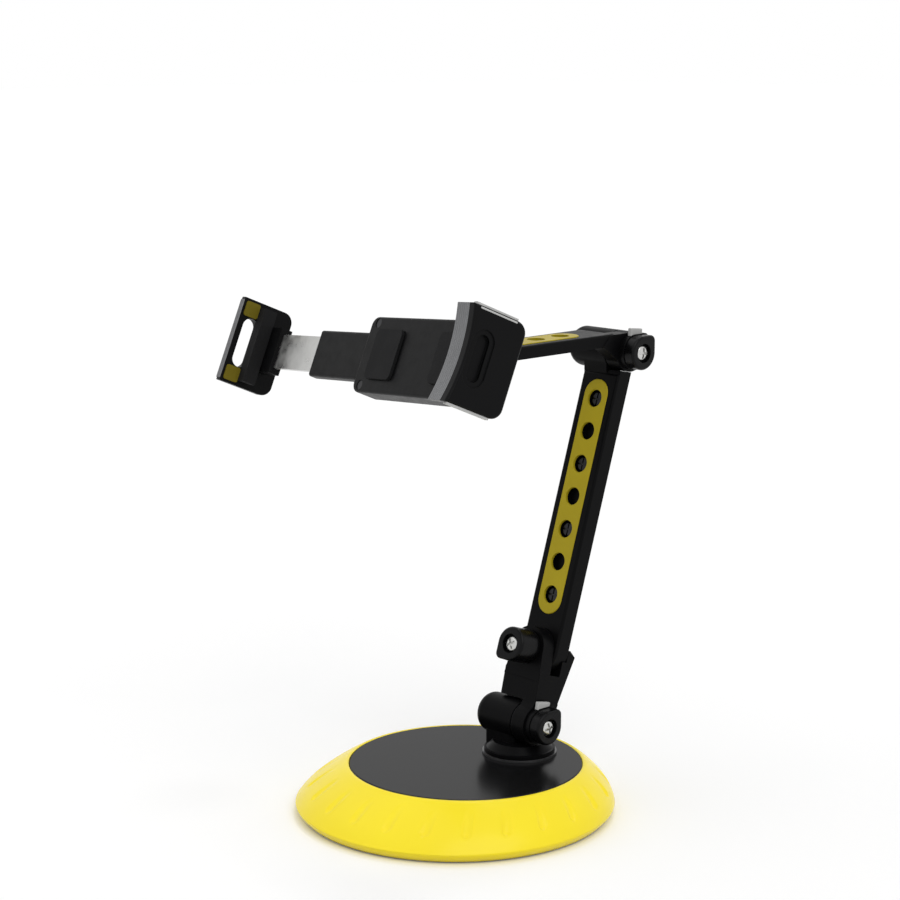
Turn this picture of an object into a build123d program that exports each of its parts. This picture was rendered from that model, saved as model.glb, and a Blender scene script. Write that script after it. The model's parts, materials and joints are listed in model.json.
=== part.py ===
"""Tablet desk stand: a weighted round base, two hinged arms and a clamp on a ball joint.

Millimetres, +Z up. The origin is the middle of the base's underside. The hinge pins lie along X,
and the clamp faces -Y. The pose is that of a stand with its clamp opened to a large tablet.
"""
from math import cos, radians, sin
import os

from build123d import *

os.makedirs("parts", exist_ok=True)


# Round base
rim_radius = 82.1             # widest circle of the yellow skirt
rim_height = 3.5              # height of that circle above the table
skirt_bottom = 0.8            # the skirt's lower edge stands off the table
tuck_in = 2.2                 # how far the skirt draws in below the rim
deck_height = 24.5            # top face of the dark plate
plate_radius = 60.0
plate_thickness = 2.8
plate_shift = 6.2             # the plate lies off the rim's centre, towards the foot
base_turn = 15.3              # degrees from +Y to the line through plate and foot
plate_clearance = 0.2
plate_edge = 0.5
plate_border = 1.2            # level edge of the skirt round the plate
crown = 3.0                   # how far the skirt bulges over a straight slope
dent_count = 24
dent_radius = 12.0            # of the round tool that leaves each shallow dent
dent_depth = 0.75
dent_length = 17.0
dent_turn = 6.0               # degrees from +X to the first dent
dent_foot = 0.16              # the dents' lower and upper ends, as shares of the slope's height
dent_head = 0.62
dent_bulge = 0.9              # the slope's own bulge over a dent's length
weight_radius = 64.0
weight_thickness = 11.0
weight_edge = 1.5
weight_gap = 0.2
pad_thickness = 1.2
pad_radius = 75.5
pad_edge = 0.3
cover_thickness = 2.0
cover_radius = 77.6
base_screw_count = 6
base_screw_circle = 71.0
base_screw_turn = 12.0         # degrees from +X
base_screw_reach = 7.5        # length held in the skirt
base_screw_hole = 8.0
screw_radius = 1.5            # small self-tapping screws
screw_head_radius = 2.9

# Swivelling foot
foot_offset = 37.9            # from the rim's centre to the swivel axis
flange_radius = 18.4
flange_thickness = 2.0
flare_height = 3.5            # cone between the flange and the post
flare_step = 1.2
flare_draw = 3.4
post_inset = 6.0              # the post stands in from the barrel's closed end
swivel_washer_thickness = 1.2
post_depth = 17.0
post_corner = 3.0
post_relief = 0.4             # free space beside the moving knuckle
washer_overhang = 1.0
foot_bolt_radius = 3.0
foot_bolt_head_radius = 5.5
foot_bolt_hole = 3.2
foot_bolt_pocket = 7.0        # depth of the pocket for its head
wrench_room = 2.0
foot_bolt_head_height = 4.0
foot_bolt_reach = 5.0         # length held in the foot
wave_washer_thickness = 0.8
wave_washer_radius = 6.5
hinge_height = 17.5           # lower hinge axis above the deck

# Hinge stack along X, the same at both hinges
barrel_radius = 10.6
barrel_dome = 5.5             # rounding of its closed end
knuckle_radius = 10.6
knuckle_right = 13.0          # outer face of the moving knuckle, from the arm's middle plane
knuckle_width = 8.6
friction_washer_thickness = 1.0
friction_washer_radius = 10.0
lower_barrel_left = 24.0      # closed end of the fixed barrel, from the arm's middle plane
upper_barrel_left = 24.5
collar_thickness = 3.0
collar_size = 18.8
collar_corner = 2.0
cap_thickness = 6.2
cap_radius = 8.9
cap_corner = 3.0
cap_edge = 1.4
cap_recess_radius = 5.0
cap_recess_depth = 2.6
bolt_radius = 2.5
bolt_head_radius = 4.1
bolt_head_height = 2.2
bolt_head_edge = 0.7
bolt_slot = 1.1               # width and depth
pin_clearance = 0.05
nut_radius = 4.2
nut_length = 8.0
nut_setback = 6.0             # from the barrel's closed end to its nut

# Arms
bar_width = 25.0
lower_bar_thickness = 9.2
upper_bar_thickness = 6.5
bar_edge = 1.4
strip_width = 16.2
strip_thickness = 1.4
strip_sunk = 1.0              # depth of the groove that the strip lies in
strip_edge = 0.3
strip_clearance = 0.1
strip_hole_radius = 4.7
hole_pitch = 17.5
strip_end_margin = 10.3       # from the last hole's middle to the strip's end
hole_depth = 3.4              # of the round pockets under the strip's holes
core_depth = 1.8              # hollows between ribs in the bars' hidden sides
core_wall = 2.2
core_side_wall = 3.2
strip_screw_head_radius = 3.3
strip_screw_head_height = 1.8
strip_screw_reach = 1.6
cross_slot_width = 0.9
cross_slot_depth = 0.8
lean = 17.6                   # degrees, the lower arm leans back
lower_bar_front = 2.45        # its front face lies behind the lower hinge axis
lower_strip_start = 56.6      # from the lower hinge axis, along the arm
bar_end_gap = 13.4            # from the lower bar's end to the upper hinge axis
strip_top_gap = 3.5           # least room between a strip and its bar's end
hinge_span = 199.4            # between the two hinge axes, along the arm
upper_hinge_back = 7.5        # the upper hinge axis lies behind the lower one's line
root_start = 2.0              # the bar's root begins this far below its end
root_step = 1.2               # and behind its front face
root_front = 7.5              # where the root meets the barrel, from the hinge axis
root_back = 7.0
root_below = 5.0
slope = 0.4                  # degrees, the upper arm's fall towards the clamp
upper_bar_start = 12.0        # from the upper hinge axis
stud_reach = 16.6             # from the upper bar's end to the ball's middle
upper_bar_corner = 7.0
upper_bar_top = 10.5           # its top face lies above the upper hinge axis
upper_strip_start = 29.5
cheek_rise = 0.4              # the cheek's faces lie inside the bar's
cheek_near = 3.0              # it runs this far along the bar, above and below
cheek_far = 9.0
cheek_back = 9.0              # its lower corner, from the hinge axis
cheek_below = 4.5

# Fork between foot and lower arm, with a pivot bolt square to the arm's face
pivot_reach = 38.0            # from the hinge axis to the pivot bolt
fork_clearance = 0.3
fork_bottom = 11.0
fork_front = 6.0
fork_back = 17.5
fork_taper = 5.5              # the fork's back draws in towards the hinge
front_ear_radius = 11.0
back_ear_radius = 9.0
back_ear_thickness = 3.6
cheek_top = 40.3
cheek_bevel = 3.0
fork_shoulder = 26.0          # the block is full depth up to here
fork_chin = 1.0
fork_root = 3.0               # thickness of the block behind the arm
ear_root = 22.0
back_ear_stem = 12.0
round_clearance = 0.6         # round the arm's lower end
overrun = 1.0                 # cutters reach this far past a face
pivot_collar_thickness = 2.0
pivot_cap_thickness = 12.0
pivot_nut_thickness = 3.6
nut_seat_radius = 5.1
pivot_collar_radius = 8.4
pivot_cap_edge = 1.6

# Ball joint
ball_radius = 7.5
ball_reach = 105.6            # from the upper hinge axis to the ball's middle
ball_neck_radius = 3.5
stud_boss_radius = 6.2
stud_boss_length = 4.0
stud_tail_radius = 2.6
stud_root = 3.0               # the boss reaches this far into the bar
ball_drop = 0.95              # the ball lies below the bar's middle plane
stud_seated = 2.8             # the tail reaches this far into the bar's end
ball_gap = 0.2
seat_thickness = 1.5
seat_edge_angle = 66.0        # degrees, half opening of the seat's bowl from the clamp's axis
opening_angle = 66.0          # degrees, half opening of the collar round the stud
socket_outer = 12.6
collar_wall = 3.0
collar_back = 5.6
collar_front = 7.0
cup_angle = 98.0              # degrees from the clamp's axis, where cup and collar part
collar_clearance = 0.2
socket_bevel = 2.0
socket_lip = 3.4
finger_groove_count = 16
finger_groove_radius = 2.0
finger_groove_out = 1.1       # its middle lies outside the collar

# Clamp, in its own frame: x to the tablet's right, y up the tablet, z out of the screen
clamp_yaw = 12.3
clamp_tilt = 23.4
clamp_roll = 5.3
tablet_thickness = 5.9
screen_out = 36.5             # from the ball's middle to the plane of the tablet's screen
jaw_drop = 9.4                # the jaws' middle line lies below the ball
right_reach = 55.4            # from the ball to the tablet's right edge
opening = 214.9               # between the jaws as shown, a large tablet's width
housing_back = 14.0           # from the ball's middle to the housing's back
housing_height = 40.0
housing_rear_edge = 2.5
housing_front_edge = 1.5
housing_screw_left = 7.0      # screws' places, from the housing's edges
housing_screw_right = 12.0
housing_screw_side = 3.6
housing_screw_radius = 1.3
housing_screw_head = 2.5
housing_screw_reach = 4.0
housing_screw_sunk = 1.6
housing_screw_cap = 1.3        # height of its head
back_pad_left = 27.0           # middles of the two pads, from the ball
back_pad_right = 32.0
back_pad_width = 24.0
back_pad_height = 26.0
back_pad_corner = 3.0
back_pad_seat = 0.5
seat_room = 0.2
housing_left = 50.0
housing_pad = 1.6
housing_corner = 5.0
slider_width = 25.4
slider_thickness = 6.6
slider_length = 86.0
slide_clearance = 0.3
slider_edge = 1.5
tongue_width = 19.2
tongue_thickness = 2.4
tongue_length = 84.0
tongue_engaged = 29.0
slider_engaged = 31.0
jaw_height = 47.8
jaw_pad = 1.2
right_jaw_wall = 5.2
right_jaw_back = 25.5         # the jaw's depth behind the screen's plane
right_jaw_front = 6.4         # and in front of it
right_jaw_corner = 6.0
jaw_softening = 1.6           # rounding of its outer edges
grip_width = 9.2              # grey lip that reaches over the tablet's edge
grip_thickness = 2.4
grip_bow = 3.0                # the lip's ends stand this far off the glass
slot_length = 23.0
slot_width = 7.2
slot_depth = 2.4
slot_rim_length = 28.0        # shallow step round the slot
slot_rim_width = 12.4
slot_rim_depth = 0.7
slot_back_from_screen = 4.0   # its middle line lies behind the screen's plane
trim_thickness = 1.0
trim_border = 1.2             # the trim stands in from the jaw's faces
trim_front = 1.5
jaw_root_length = 13.0        # block that closes the housing's channel
jaw_root_overlap = 1.0
jaw_pad_border = 3.0
jaw_pad_gap = 0.6
grip_edge = 0.6
left_jaw_outer = 12.6         # from the tablet's edge to the left wall's outside
left_wall = 5.2
left_slot_length = 27.5
left_slot_width = 9.2
left_slot_back_from_screen = 1.6
left_root_reach = 10.0
left_pad_gap = 0.4
left_pad_back_from_screen = 3.8
yellow_pad_height = 8.3
yellow_pad_thickness = 0.9
yellow_pad_depth = 8.6
yellow_pad_corner = 1.2
yellow_pad_margin = 1.5       # from the jaw's front and end faces


# Places worked out from the sizes
base_axis = Vector(sin(radians(base_turn)), cos(radians(base_turn)), 0)
plate_centre = base_axis * plate_shift
foot_centre = base_axis * foot_offset
cover_bottom = pad_thickness
cover_top = cover_bottom + cover_thickness
weight_bottom = cover_top + weight_gap
weight_top = weight_bottom + weight_thickness
plate_bottom = deck_height - plate_thickness
washer_top = deck_height + swivel_washer_thickness
hinge_z = deck_height + hinge_height
middle_x = foot_centre.X
lower_bar_end = hinge_span - bar_end_gap
upper_bar_end = ball_reach - stud_reach
lower_strip_room = lower_bar_end - strip_top_gap - lower_strip_start - 2 * strip_end_margin
upper_strip_room = upper_bar_end - strip_top_gap - upper_strip_start - 2 * strip_end_margin
lower_hole_count = 1 + int(lower_strip_room / hole_pitch)
upper_hole_count = 1 + int(upper_strip_room / hole_pitch)
lower_hinge = Vector(middle_x, foot_centre.Y, hinge_z)

# Arm face plane: local x along X, local y up the arm, local z out of the arm's front face
arm_face = Plane(origin=lower_hinge, x_dir=(1, 0, 0), z_dir=(0, -cos(radians(lean)), sin(radians(lean))))
# Seen along the hinge pins: local x out of the arm's back, local y up the arm, local z along X
arm_side = Plane(origin=lower_hinge, x_dir=-arm_face.z_dir, z_dir=(1, 0, 0))
upper_hinge = arm_face.from_local_coords(Vector(0, hinge_span, -upper_hinge_back))
# Upper arm: local x along -X, local y out towards the clamp, local z up out of its top face
forward = Vector(0, -cos(radians(slope)), -sin(radians(slope)))
upper_face = Plane(origin=upper_hinge, x_dir=(-1, 0, 0), z_dir=(0, forward.Z, -forward.Y))
upper_side = Plane(origin=upper_hinge, x_dir=forward, z_dir=(-1, 0, 0))
upper_bar_middle = upper_bar_top - upper_bar_thickness / 2
ball_centre = upper_face.from_local_coords(Vector(0, ball_reach, upper_bar_middle - ball_drop))

yaw, tilt, roll = radians(clamp_yaw), radians(clamp_tilt), radians(clamp_roll)
clamp_out = Vector(-sin(yaw) * cos(tilt), -cos(yaw) * cos(tilt), sin(tilt))
level_right = Vector(cos(yaw), -sin(yaw), 0)
clamp_right = level_right * cos(roll) + clamp_out.cross(level_right) * sin(roll)
clamp = Plane(origin=ball_centre, x_dir=clamp_right, z_dir=clamp_out)

tablet_back = screen_out - tablet_thickness
housing_front = tablet_back - housing_pad
housing_right = right_reach + jaw_pad
tablet_left = right_reach - opening
slide_middle = (housing_back + housing_front) / 2
knuckle_left = knuckle_right - knuckle_width
barrel_right = knuckle_left - friction_washer_thickness


def shifted(plane, z):
    """The plane moved along its own normal."""
    return plane.offset(z)


def across(x):
    """A plane square to the hinge pins at x from the arms' middle, with local axes +Y and +Z."""
    return Plane(origin=(middle_x + x, 0, 0), x_dir=(0, 1, 0), z_dir=(1, 0, 0))


def squared_round(outline, radius, side_x, side_y, softening):
    """Round outline with one square corner, softened, in the open sketch."""
    Circle(radius)
    with Locations((side_x * radius / 2, side_y * radius / 2)):
        Rectangle(radius, radius)
    fillet(outline.vertices().sort_by_distance(Vector(0, 0, 0))[-1], softening)


def save(builder, name):
    builder.part.label = name
    export_step(builder.part, f"parts/{name}.step")


# Base
def skirt_centre(z):
    """Centre of the skirt's circle at a height, between the rim's and the plate's."""
    share = (z - rim_height) / (deck_height - rim_height)
    return plate_centre * share


def skirt_radius(z):
    """Radius of the skirt at a height: a straight slope with a round crown on it."""
    share = (z - rim_height) / (deck_height - rim_height)
    edge = plate_radius + plate_clearance + plate_border
    return rim_radius + (edge - rim_radius) * share + crown * 4 * share * (1 - share)


def screw_ring(count, radius):
    return PolarLocations(radius, count, start_angle=base_screw_turn)


skirt_levels = [rim_height + (deck_height - rim_height) * k / 4 for k in range(5)]
with BuildPart() as base_skirt:
    for level in skirt_levels:
        with BuildSketch(Plane.XY.offset(level)):
            with Locations((skirt_centre(level).X, skirt_centre(level).Y)):
                Circle(skirt_radius(level))
    loft()
    with BuildSketch(Plane.XY.offset(skirt_bottom)):
        Circle(rim_radius - tuck_in)
    with BuildSketch(Plane.XY.offset(rim_height)):
        Circle(rim_radius)
    loft(ruled=True)
    # seat of the dark plate
    with BuildSketch(Plane.XY.offset(plate_bottom)):
        with Locations((plate_centre.X, plate_centre.Y)):
            Circle(plate_radius + plate_clearance)
    extrude(amount=plate_thickness + overrun, mode=Mode.SUBTRACT)
    # rooms for the weight and the bottom cover
    with BuildSketch(Plane.XY.offset(cover_top)):
        Circle(weight_radius + plate_clearance)
    extrude(amount=weight_top - cover_top, mode=Mode.SUBTRACT)
    with BuildSketch(Plane.XY.offset(skirt_bottom)):
        Circle(cover_radius + plate_clearance)
    extrude(amount=cover_top - skirt_bottom, mode=Mode.SUBTRACT)
    with BuildSketch(Plane.XY.offset(weight_top)):
        with Locations((foot_centre.X, foot_centre.Y)):
            Circle(foot_bolt_hole)
    extrude(amount=deck_height - weight_top, mode=Mode.SUBTRACT)
    with BuildSketch(Plane.XY.offset(cover_top)):
        with screw_ring(base_screw_count, base_screw_circle):
            Circle(screw_radius)
    extrude(amount=base_screw_hole, mode=Mode.SUBTRACT)
    # shallow dents down the slope
    dent_low = rim_height + dent_foot * (deck_height - rim_height)
    dent_high = rim_height + dent_head * (deck_height - rim_height)
    for k in range(dent_count):
        angle = radians(360 * k / dent_count + dent_turn)
        spoke = Vector(cos(angle), sin(angle), 0)
        low = skirt_centre(dent_low) + spoke * skirt_radius(dent_low) + Vector(0, 0, dent_low)
        high = skirt_centre(dent_high) + spoke * skirt_radius(dent_high) + Vector(0, 0, dent_high)
        along = (high - low).normalized()
        outward = (spoke - along * spoke.dot(along)).normalized()
        middle = (low + high) * 0.5 + outward * (dent_radius - dent_depth + dent_bulge)
        with BuildSketch(Plane(origin=middle - along * (dent_length / 2), x_dir=outward, z_dir=along)):
            Circle(dent_radius)
        extrude(amount=dent_length, mode=Mode.SUBTRACT)
save(base_skirt, "base_skirt")

with BuildPart() as top_plate:
    with BuildSketch(Plane.XY.offset(plate_bottom)):
        with Locations((plate_centre.X, plate_centre.Y)):
            Circle(plate_radius)
        with Locations((foot_centre.X, foot_centre.Y)):
            Circle(foot_bolt_hole, mode=Mode.SUBTRACT)
    extrude(amount=plate_thickness)
    chamfer(top_plate.edges().group_by(Axis.Z)[-1].sort_by(SortBy.LENGTH)[-1], plate_edge)
save(top_plate, "top_plate")

bolt_pocket_top = weight_bottom + foot_bolt_pocket
with BuildPart() as base_weight:
    with BuildSketch(Plane.XY.offset(weight_bottom)):
        Circle(weight_radius)
    extrude(amount=weight_top - weight_bottom)
    chamfer(base_weight.edges().filter_by(GeomType.CIRCLE).group_by(Axis.Z)[0], weight_edge)
    with Locations((foot_centre.X, foot_centre.Y, weight_top)):
        Hole(foot_bolt_hole, depth=weight_thickness)
    with BuildSketch(Plane.XY.offset(weight_bottom)):
        with Locations((foot_centre.X, foot_centre.Y)):
            Circle(foot_bolt_head_radius + wrench_room)
    extrude(amount=bolt_pocket_top - weight_bottom, mode=Mode.SUBTRACT)
save(base_weight, "base_weight")

with BuildPart() as bottom_cover:
    with BuildSketch(Plane.XY.offset(cover_bottom)):
        Circle(cover_radius)
        with screw_ring(base_screw_count, base_screw_circle):
            Circle(screw_radius, mode=Mode.SUBTRACT)
    extrude(amount=cover_thickness)
    # cone seats of the screws' heads
    with screw_ring(base_screw_count, base_screw_circle):
        with Locations((0, 0, cover_bottom)):
            Cone(screw_head_radius, screw_radius, screw_head_radius - screw_radius,
                 align=(Align.CENTER, Align.CENTER, Align.MIN), mode=Mode.SUBTRACT)
save(bottom_cover, "bottom_cover")

with BuildPart() as base_screws:
    with BuildSketch(Plane.XY.offset(cover_bottom)):
        with screw_ring(base_screw_count, base_screw_circle):
            Circle(screw_radius)
    extrude(amount=cover_thickness + base_screw_reach)
    with screw_ring(base_screw_count, base_screw_circle):
        with Locations((0, 0, cover_bottom)):
            Cone(screw_head_radius, screw_radius, screw_head_radius - screw_radius,
                 align=(Align.CENTER, Align.CENTER, Align.MIN))
save(base_screws, "base_screws")

with BuildPart() as foot_pad:
    with BuildSketch(Plane.XY):
        Circle(pad_radius)
    extrude(amount=pad_thickness)
    chamfer(foot_pad.edges().group_by(Axis.Z)[0], pad_edge)
save(foot_pad, "foot_pad")


# Foot
with BuildPart() as swivel_washer:
    with BuildSketch(Plane.XY.offset(deck_height)):
        with Locations((foot_centre.X, foot_centre.Y)):
            Circle(flange_radius + washer_overhang)
            Circle(foot_bolt_hole, mode=Mode.SUBTRACT)
    extrude(amount=swivel_washer_thickness)
save(swivel_washer, "swivel_washer")

bolt_head_bottom = bolt_pocket_top - wave_washer_thickness - foot_bolt_head_height
with BuildPart() as wave_washer:
    with BuildSketch(Plane.XY.offset(bolt_pocket_top - wave_washer_thickness)):
        with Locations((foot_centre.X, foot_centre.Y)):
            Circle(wave_washer_radius)
            Circle(foot_bolt_hole, mode=Mode.SUBTRACT)
    extrude(amount=wave_washer_thickness)
save(wave_washer, "wave_washer")

bolt_top = washer_top + foot_bolt_reach
with BuildPart() as foot_bolt:
    with BuildSketch(Plane.XY.offset(bolt_head_bottom)):
        with Locations((foot_centre.X, foot_centre.Y)):
            RegularPolygon(foot_bolt_head_radius, 6)
    extrude(amount=foot_bolt_head_height)
    with BuildSketch(Plane.XY.offset(bolt_head_bottom)):
        with Locations((foot_centre.X, foot_centre.Y)):
            Circle(foot_bolt_radius)
    extrude(amount=bolt_top - bolt_head_bottom)
save(foot_bolt, "foot_bolt")

post_left = -lower_barrel_left + post_inset
post_right = barrel_right - post_relief
post_middle = middle_x + (post_left + post_right) / 2
with BuildPart() as foot:
    # barrel along the pin, closed and domed at its left end
    with BuildSketch(across(-lower_barrel_left)):
        with Locations((lower_hinge.Y, hinge_z)):
            Circle(barrel_radius)
    extrude(amount=lower_barrel_left + barrel_right)
    fillet(foot.edges().filter_by(GeomType.CIRCLE).sort_by(Axis.X)[0], barrel_dome)
    # flange, flare and post below it
    with BuildSketch(Plane.XY.offset(washer_top)):
        with Locations((foot_centre.X, foot_centre.Y)):
            Circle(flange_radius)
    extrude(amount=flange_thickness)
    with Locations((foot_centre.X, foot_centre.Y, washer_top + flange_thickness)):
        Cone(flange_radius - flare_step, flange_radius - flare_step - flare_draw, flare_height,
             align=(Align.CENTER, Align.CENTER, Align.MIN))
    with BuildSketch(Plane.XY.offset(washer_top + flange_thickness)):
        with Locations((post_middle, foot_centre.Y)):
            RectangleRounded(post_right - post_left, post_depth, post_corner)
    extrude(amount=hinge_z - washer_top - flange_thickness)
    # bore for the hinge bolt and its nut
    with BuildSketch(across(-lower_barrel_left + nut_setback)):
        with Locations((lower_hinge.Y, hinge_z)):
            Circle(bolt_radius + pin_clearance)
    extrude(amount=lower_barrel_left + barrel_right, mode=Mode.SUBTRACT)
    with BuildSketch(across(-lower_barrel_left + nut_setback)):
        with Locations((lower_hinge.Y, hinge_z)):
            Circle(nut_radius)
    extrude(amount=nut_length, mode=Mode.SUBTRACT)
    with BuildSketch(Plane.XY.offset(washer_top)):
        with Locations((foot_centre.X, foot_centre.Y)):
            Circle(foot_bolt_radius)
    extrude(amount=bolt_top - washer_top, mode=Mode.SUBTRACT)
save(foot, "foot")


def hinge_hardware(prefix, barrel_left, plane):
    """Bolt, nut, friction washer, squared collar and end cap of one hinge.

    plane looks along the pin: its origin is on the hinge axis at the arms' middle, local z is +X.
    """
    collar_start = knuckle_right
    cap_start = collar_start + collar_thickness
    cap_end = cap_start + cap_thickness
    head_start = cap_end - cap_recess_depth
    nut_start = -barrel_left + nut_setback

    with BuildPart() as bolt:
        with BuildSketch(shifted(plane, nut_start)):
            Circle(bolt_radius)
        extrude(amount=head_start - nut_start)
        with BuildSketch(shifted(plane, head_start)):
            Circle(bolt_head_radius)
        extrude(amount=bolt_head_height)
        fillet(bolt.faces().sort_by(Axis(plane.origin, plane.z_dir))[-1].edges(), bolt_head_edge)
        with BuildSketch(shifted(plane, head_start + bolt_head_height)):
            Rectangle(2 * bolt_head_radius, bolt_slot, rotation=20)
        extrude(amount=-bolt_slot, mode=Mode.SUBTRACT)
    save(bolt, prefix + "_hinge_bolt")

    with BuildPart() as nut:
        with BuildSketch(shifted(plane, nut_start)):
            Circle(nut_radius)
            Circle(bolt_radius, mode=Mode.SUBTRACT)
        extrude(amount=nut_length)
    save(nut, prefix + "_hinge_nut")

    with BuildPart() as washer:
        with BuildSketch(shifted(plane, barrel_right)):
            Circle(friction_washer_radius)
            Circle(bolt_radius, mode=Mode.SUBTRACT)
        extrude(amount=friction_washer_thickness)
    save(washer, prefix + "_friction_washer")

    with BuildPart() as collar:
        with BuildSketch(shifted(plane, collar_start)) as outline:
            squared_round(outline, collar_size / 2, 1, 1, collar_corner)
            Circle(bolt_radius, mode=Mode.SUBTRACT)
        extrude(amount=collar_thickness)
    save(collar, prefix + "_hinge_collar")

    with BuildPart() as cap:
        with BuildSketch(shifted(plane, cap_start)) as outline:
            squared_round(outline, cap_radius, 1, 1, cap_corner)
        extrude(amount=cap_thickness)
        fillet(cap.faces().sort_by(Axis(plane.origin, plane.z_dir))[-1].edges(), cap_edge)
        with BuildSketch(shifted(plane, head_start)):
            Circle(cap_recess_radius)
        extrude(amount=cap_recess_depth + overrun, mode=Mode.SUBTRACT)
        with BuildSketch(shifted(plane, cap_start)):
            Circle(bolt_radius)
        extrude(amount=cap_thickness, mode=Mode.SUBTRACT)
    save(cap, prefix + "_hinge_cap")


lower_pin = Plane(origin=lower_hinge, x_dir=(0, 1, 0), z_dir=(1, 0, 0))
upper_pin = Plane(origin=upper_hinge, x_dir=(0, 1, 0), z_dir=(1, 0, 0))
hinge_hardware("lower", lower_barrel_left, lower_pin)
hinge_hardware("upper", upper_barrel_left, upper_pin)


# Lower fork
half_bar = bar_width / 2
slot_front = lower_bar_front - fork_clearance
slot_back = lower_bar_front + lower_bar_thickness + fork_clearance
back_ear_back = slot_back + back_ear_thickness
with BuildPart() as lower_fork:
    # block above the barrel, as deep as both ears
    with BuildSketch(shifted(arm_side, -half_bar)):
        with BuildLine():
            Polyline((-fork_front + fork_chin, fork_bottom), (fork_back - fork_taper, fork_bottom),
                     (fork_back, cheek_top - cheek_bevel), (slot_back + fork_chin, cheek_top),
                     (slot_back - fork_root, cheek_top), (slot_back - fork_root, fork_shoulder),
                     (-fork_front, fork_shoulder), (-fork_front + fork_chin, fork_bottom))
        make_face()
    extrude(amount=bar_width)
    # knuckle on the pin and the cheek that joins it to the block
    with BuildSketch(shifted(lower_pin, knuckle_left)):
        Circle(knuckle_radius)
    extrude(amount=knuckle_width)
    with BuildSketch(shifted(arm_side, knuckle_left)):
        with BuildLine():
            Polyline((-knuckle_radius, 0), (knuckle_radius, 0),
                     (fork_back - fork_taper, fork_bottom + fork_chin),
                     (-fork_front + fork_chin, fork_bottom + fork_chin), (-knuckle_radius, 0))
        make_face()
    extrude(amount=knuckle_width)
    # round ears before and behind the arm
    with BuildSketch(shifted(arm_face, -slot_front)):
        with Locations((0, pivot_reach)):
            Circle(front_ear_radius)
        with BuildLine():
            Polyline((-half_bar, ear_root), (half_bar, ear_root), (front_ear_radius, pivot_reach),
                     (-front_ear_radius, pivot_reach), (-half_bar, ear_root))
        make_face()
    extrude(amount=slot_front + fork_front)
    with BuildSketch(shifted(arm_face, -back_ear_back)):
        with Locations((0, pivot_reach)):
            Circle(back_ear_radius)
        with Locations((0, pivot_reach - back_ear_stem / 2)):
            Rectangle(2 * back_ear_radius, back_ear_stem)
    extrude(amount=back_ear_thickness)
    # room for the arm's round end
    with BuildSketch(shifted(arm_face, -slot_back)):
        with Locations((0, pivot_reach)):
            Circle(half_bar + round_clearance)
        with Locations((0, pivot_reach + half_bar)):
            Rectangle(2 * (half_bar + round_clearance), 2 * half_bar)
    extrude(amount=slot_back - slot_front, mode=Mode.SUBTRACT)
    with BuildSketch(shifted(arm_face, -fork_back - overrun)):
        with Locations((0, pivot_reach)):
            Circle(bolt_radius + pin_clearance)
    extrude(amount=fork_back + fork_front + 2 * overrun, mode=Mode.SUBTRACT)
    with BuildSketch(shifted(lower_pin, knuckle_left)):
        Circle(bolt_radius + pin_clearance)
    extrude(amount=knuckle_width, mode=Mode.SUBTRACT)
    # seat of the nut behind the back ear
    with BuildSketch(shifted(arm_face, -fork_back - overrun)):
        with Locations((0, pivot_reach)):
            Circle(nut_seat_radius)
    extrude(amount=fork_back + overrun - back_ear_back, mode=Mode.SUBTRACT)
save(lower_fork, "lower_fork")

pivot_point = arm_face.from_local_coords(Vector(0, pivot_reach, 0))
pivot = Plane(origin=pivot_point, x_dir=(1, 0, 0), z_dir=arm_face.z_dir)
cap_front = fork_front + pivot_collar_thickness + pivot_cap_thickness
pivot_head_start = cap_front - cap_recess_depth
with BuildPart() as pivot_bolt:
    with BuildSketch(shifted(pivot, -back_ear_back - pivot_nut_thickness)):
        Circle(bolt_radius)
    extrude(amount=pivot_head_start + back_ear_back + pivot_nut_thickness)
    with BuildSketch(shifted(pivot, pivot_head_start)):
        Circle(bolt_head_radius)
    extrude(amount=bolt_head_height)
    fillet(pivot_bolt.faces().sort_by(Axis(pivot.origin, pivot.z_dir))[-1].edges(), bolt_head_edge)
    with BuildSketch(shifted(pivot, pivot_head_start + bolt_head_height)):
        Rectangle(2 * bolt_head_radius, bolt_slot, rotation=-30)
    extrude(amount=-bolt_slot, mode=Mode.SUBTRACT)
save(pivot_bolt, "pivot_bolt")

with BuildPart() as pivot_nut:
    with BuildSketch(shifted(pivot, -back_ear_back - pivot_nut_thickness)):
        RegularPolygon(nut_radius, 6)
        Circle(bolt_radius, mode=Mode.SUBTRACT)
    extrude(amount=pivot_nut_thickness)
save(pivot_nut, "pivot_nut")

with BuildPart() as pivot_collar:
    with BuildSketch(shifted(pivot, fork_front)):
        Circle(pivot_collar_radius)
        Circle(bolt_radius, mode=Mode.SUBTRACT)
    extrude(amount=pivot_collar_thickness)
save(pivot_collar, "pivot_collar")

with BuildPart() as pivot_cap:
    with BuildSketch(shifted(pivot, fork_front + pivot_collar_thickness)) as outline:
        squared_round(outline, cap_radius, -1, -1, cap_corner)
    extrude(amount=pivot_cap_thickness)
    fillet(pivot_cap.faces().sort_by(Axis(pivot.origin, pivot.z_dir))[-1].edges(), pivot_cap_edge)
    with BuildSketch(shifted(pivot, pivot_head_start)):
        Circle(cap_recess_radius)
    extrude(amount=cap_recess_depth + overrun, mode=Mode.SUBTRACT)
    with BuildSketch(shifted(pivot, fork_front)):
        Circle(bolt_radius)
    extrude(amount=cap_front - fork_front, mode=Mode.SUBTRACT)
save(pivot_cap, "pivot_cap")


# Arms
def strip_length(count):
    return (count - 1) * hole_pitch + 2 * strip_end_margin


def hole_places(start, count, every=1):
    """Middles of the strip's holes, along the arm."""
    return [(0, start + strip_end_margin + k * hole_pitch) for k in range(0, count, every)]


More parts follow.
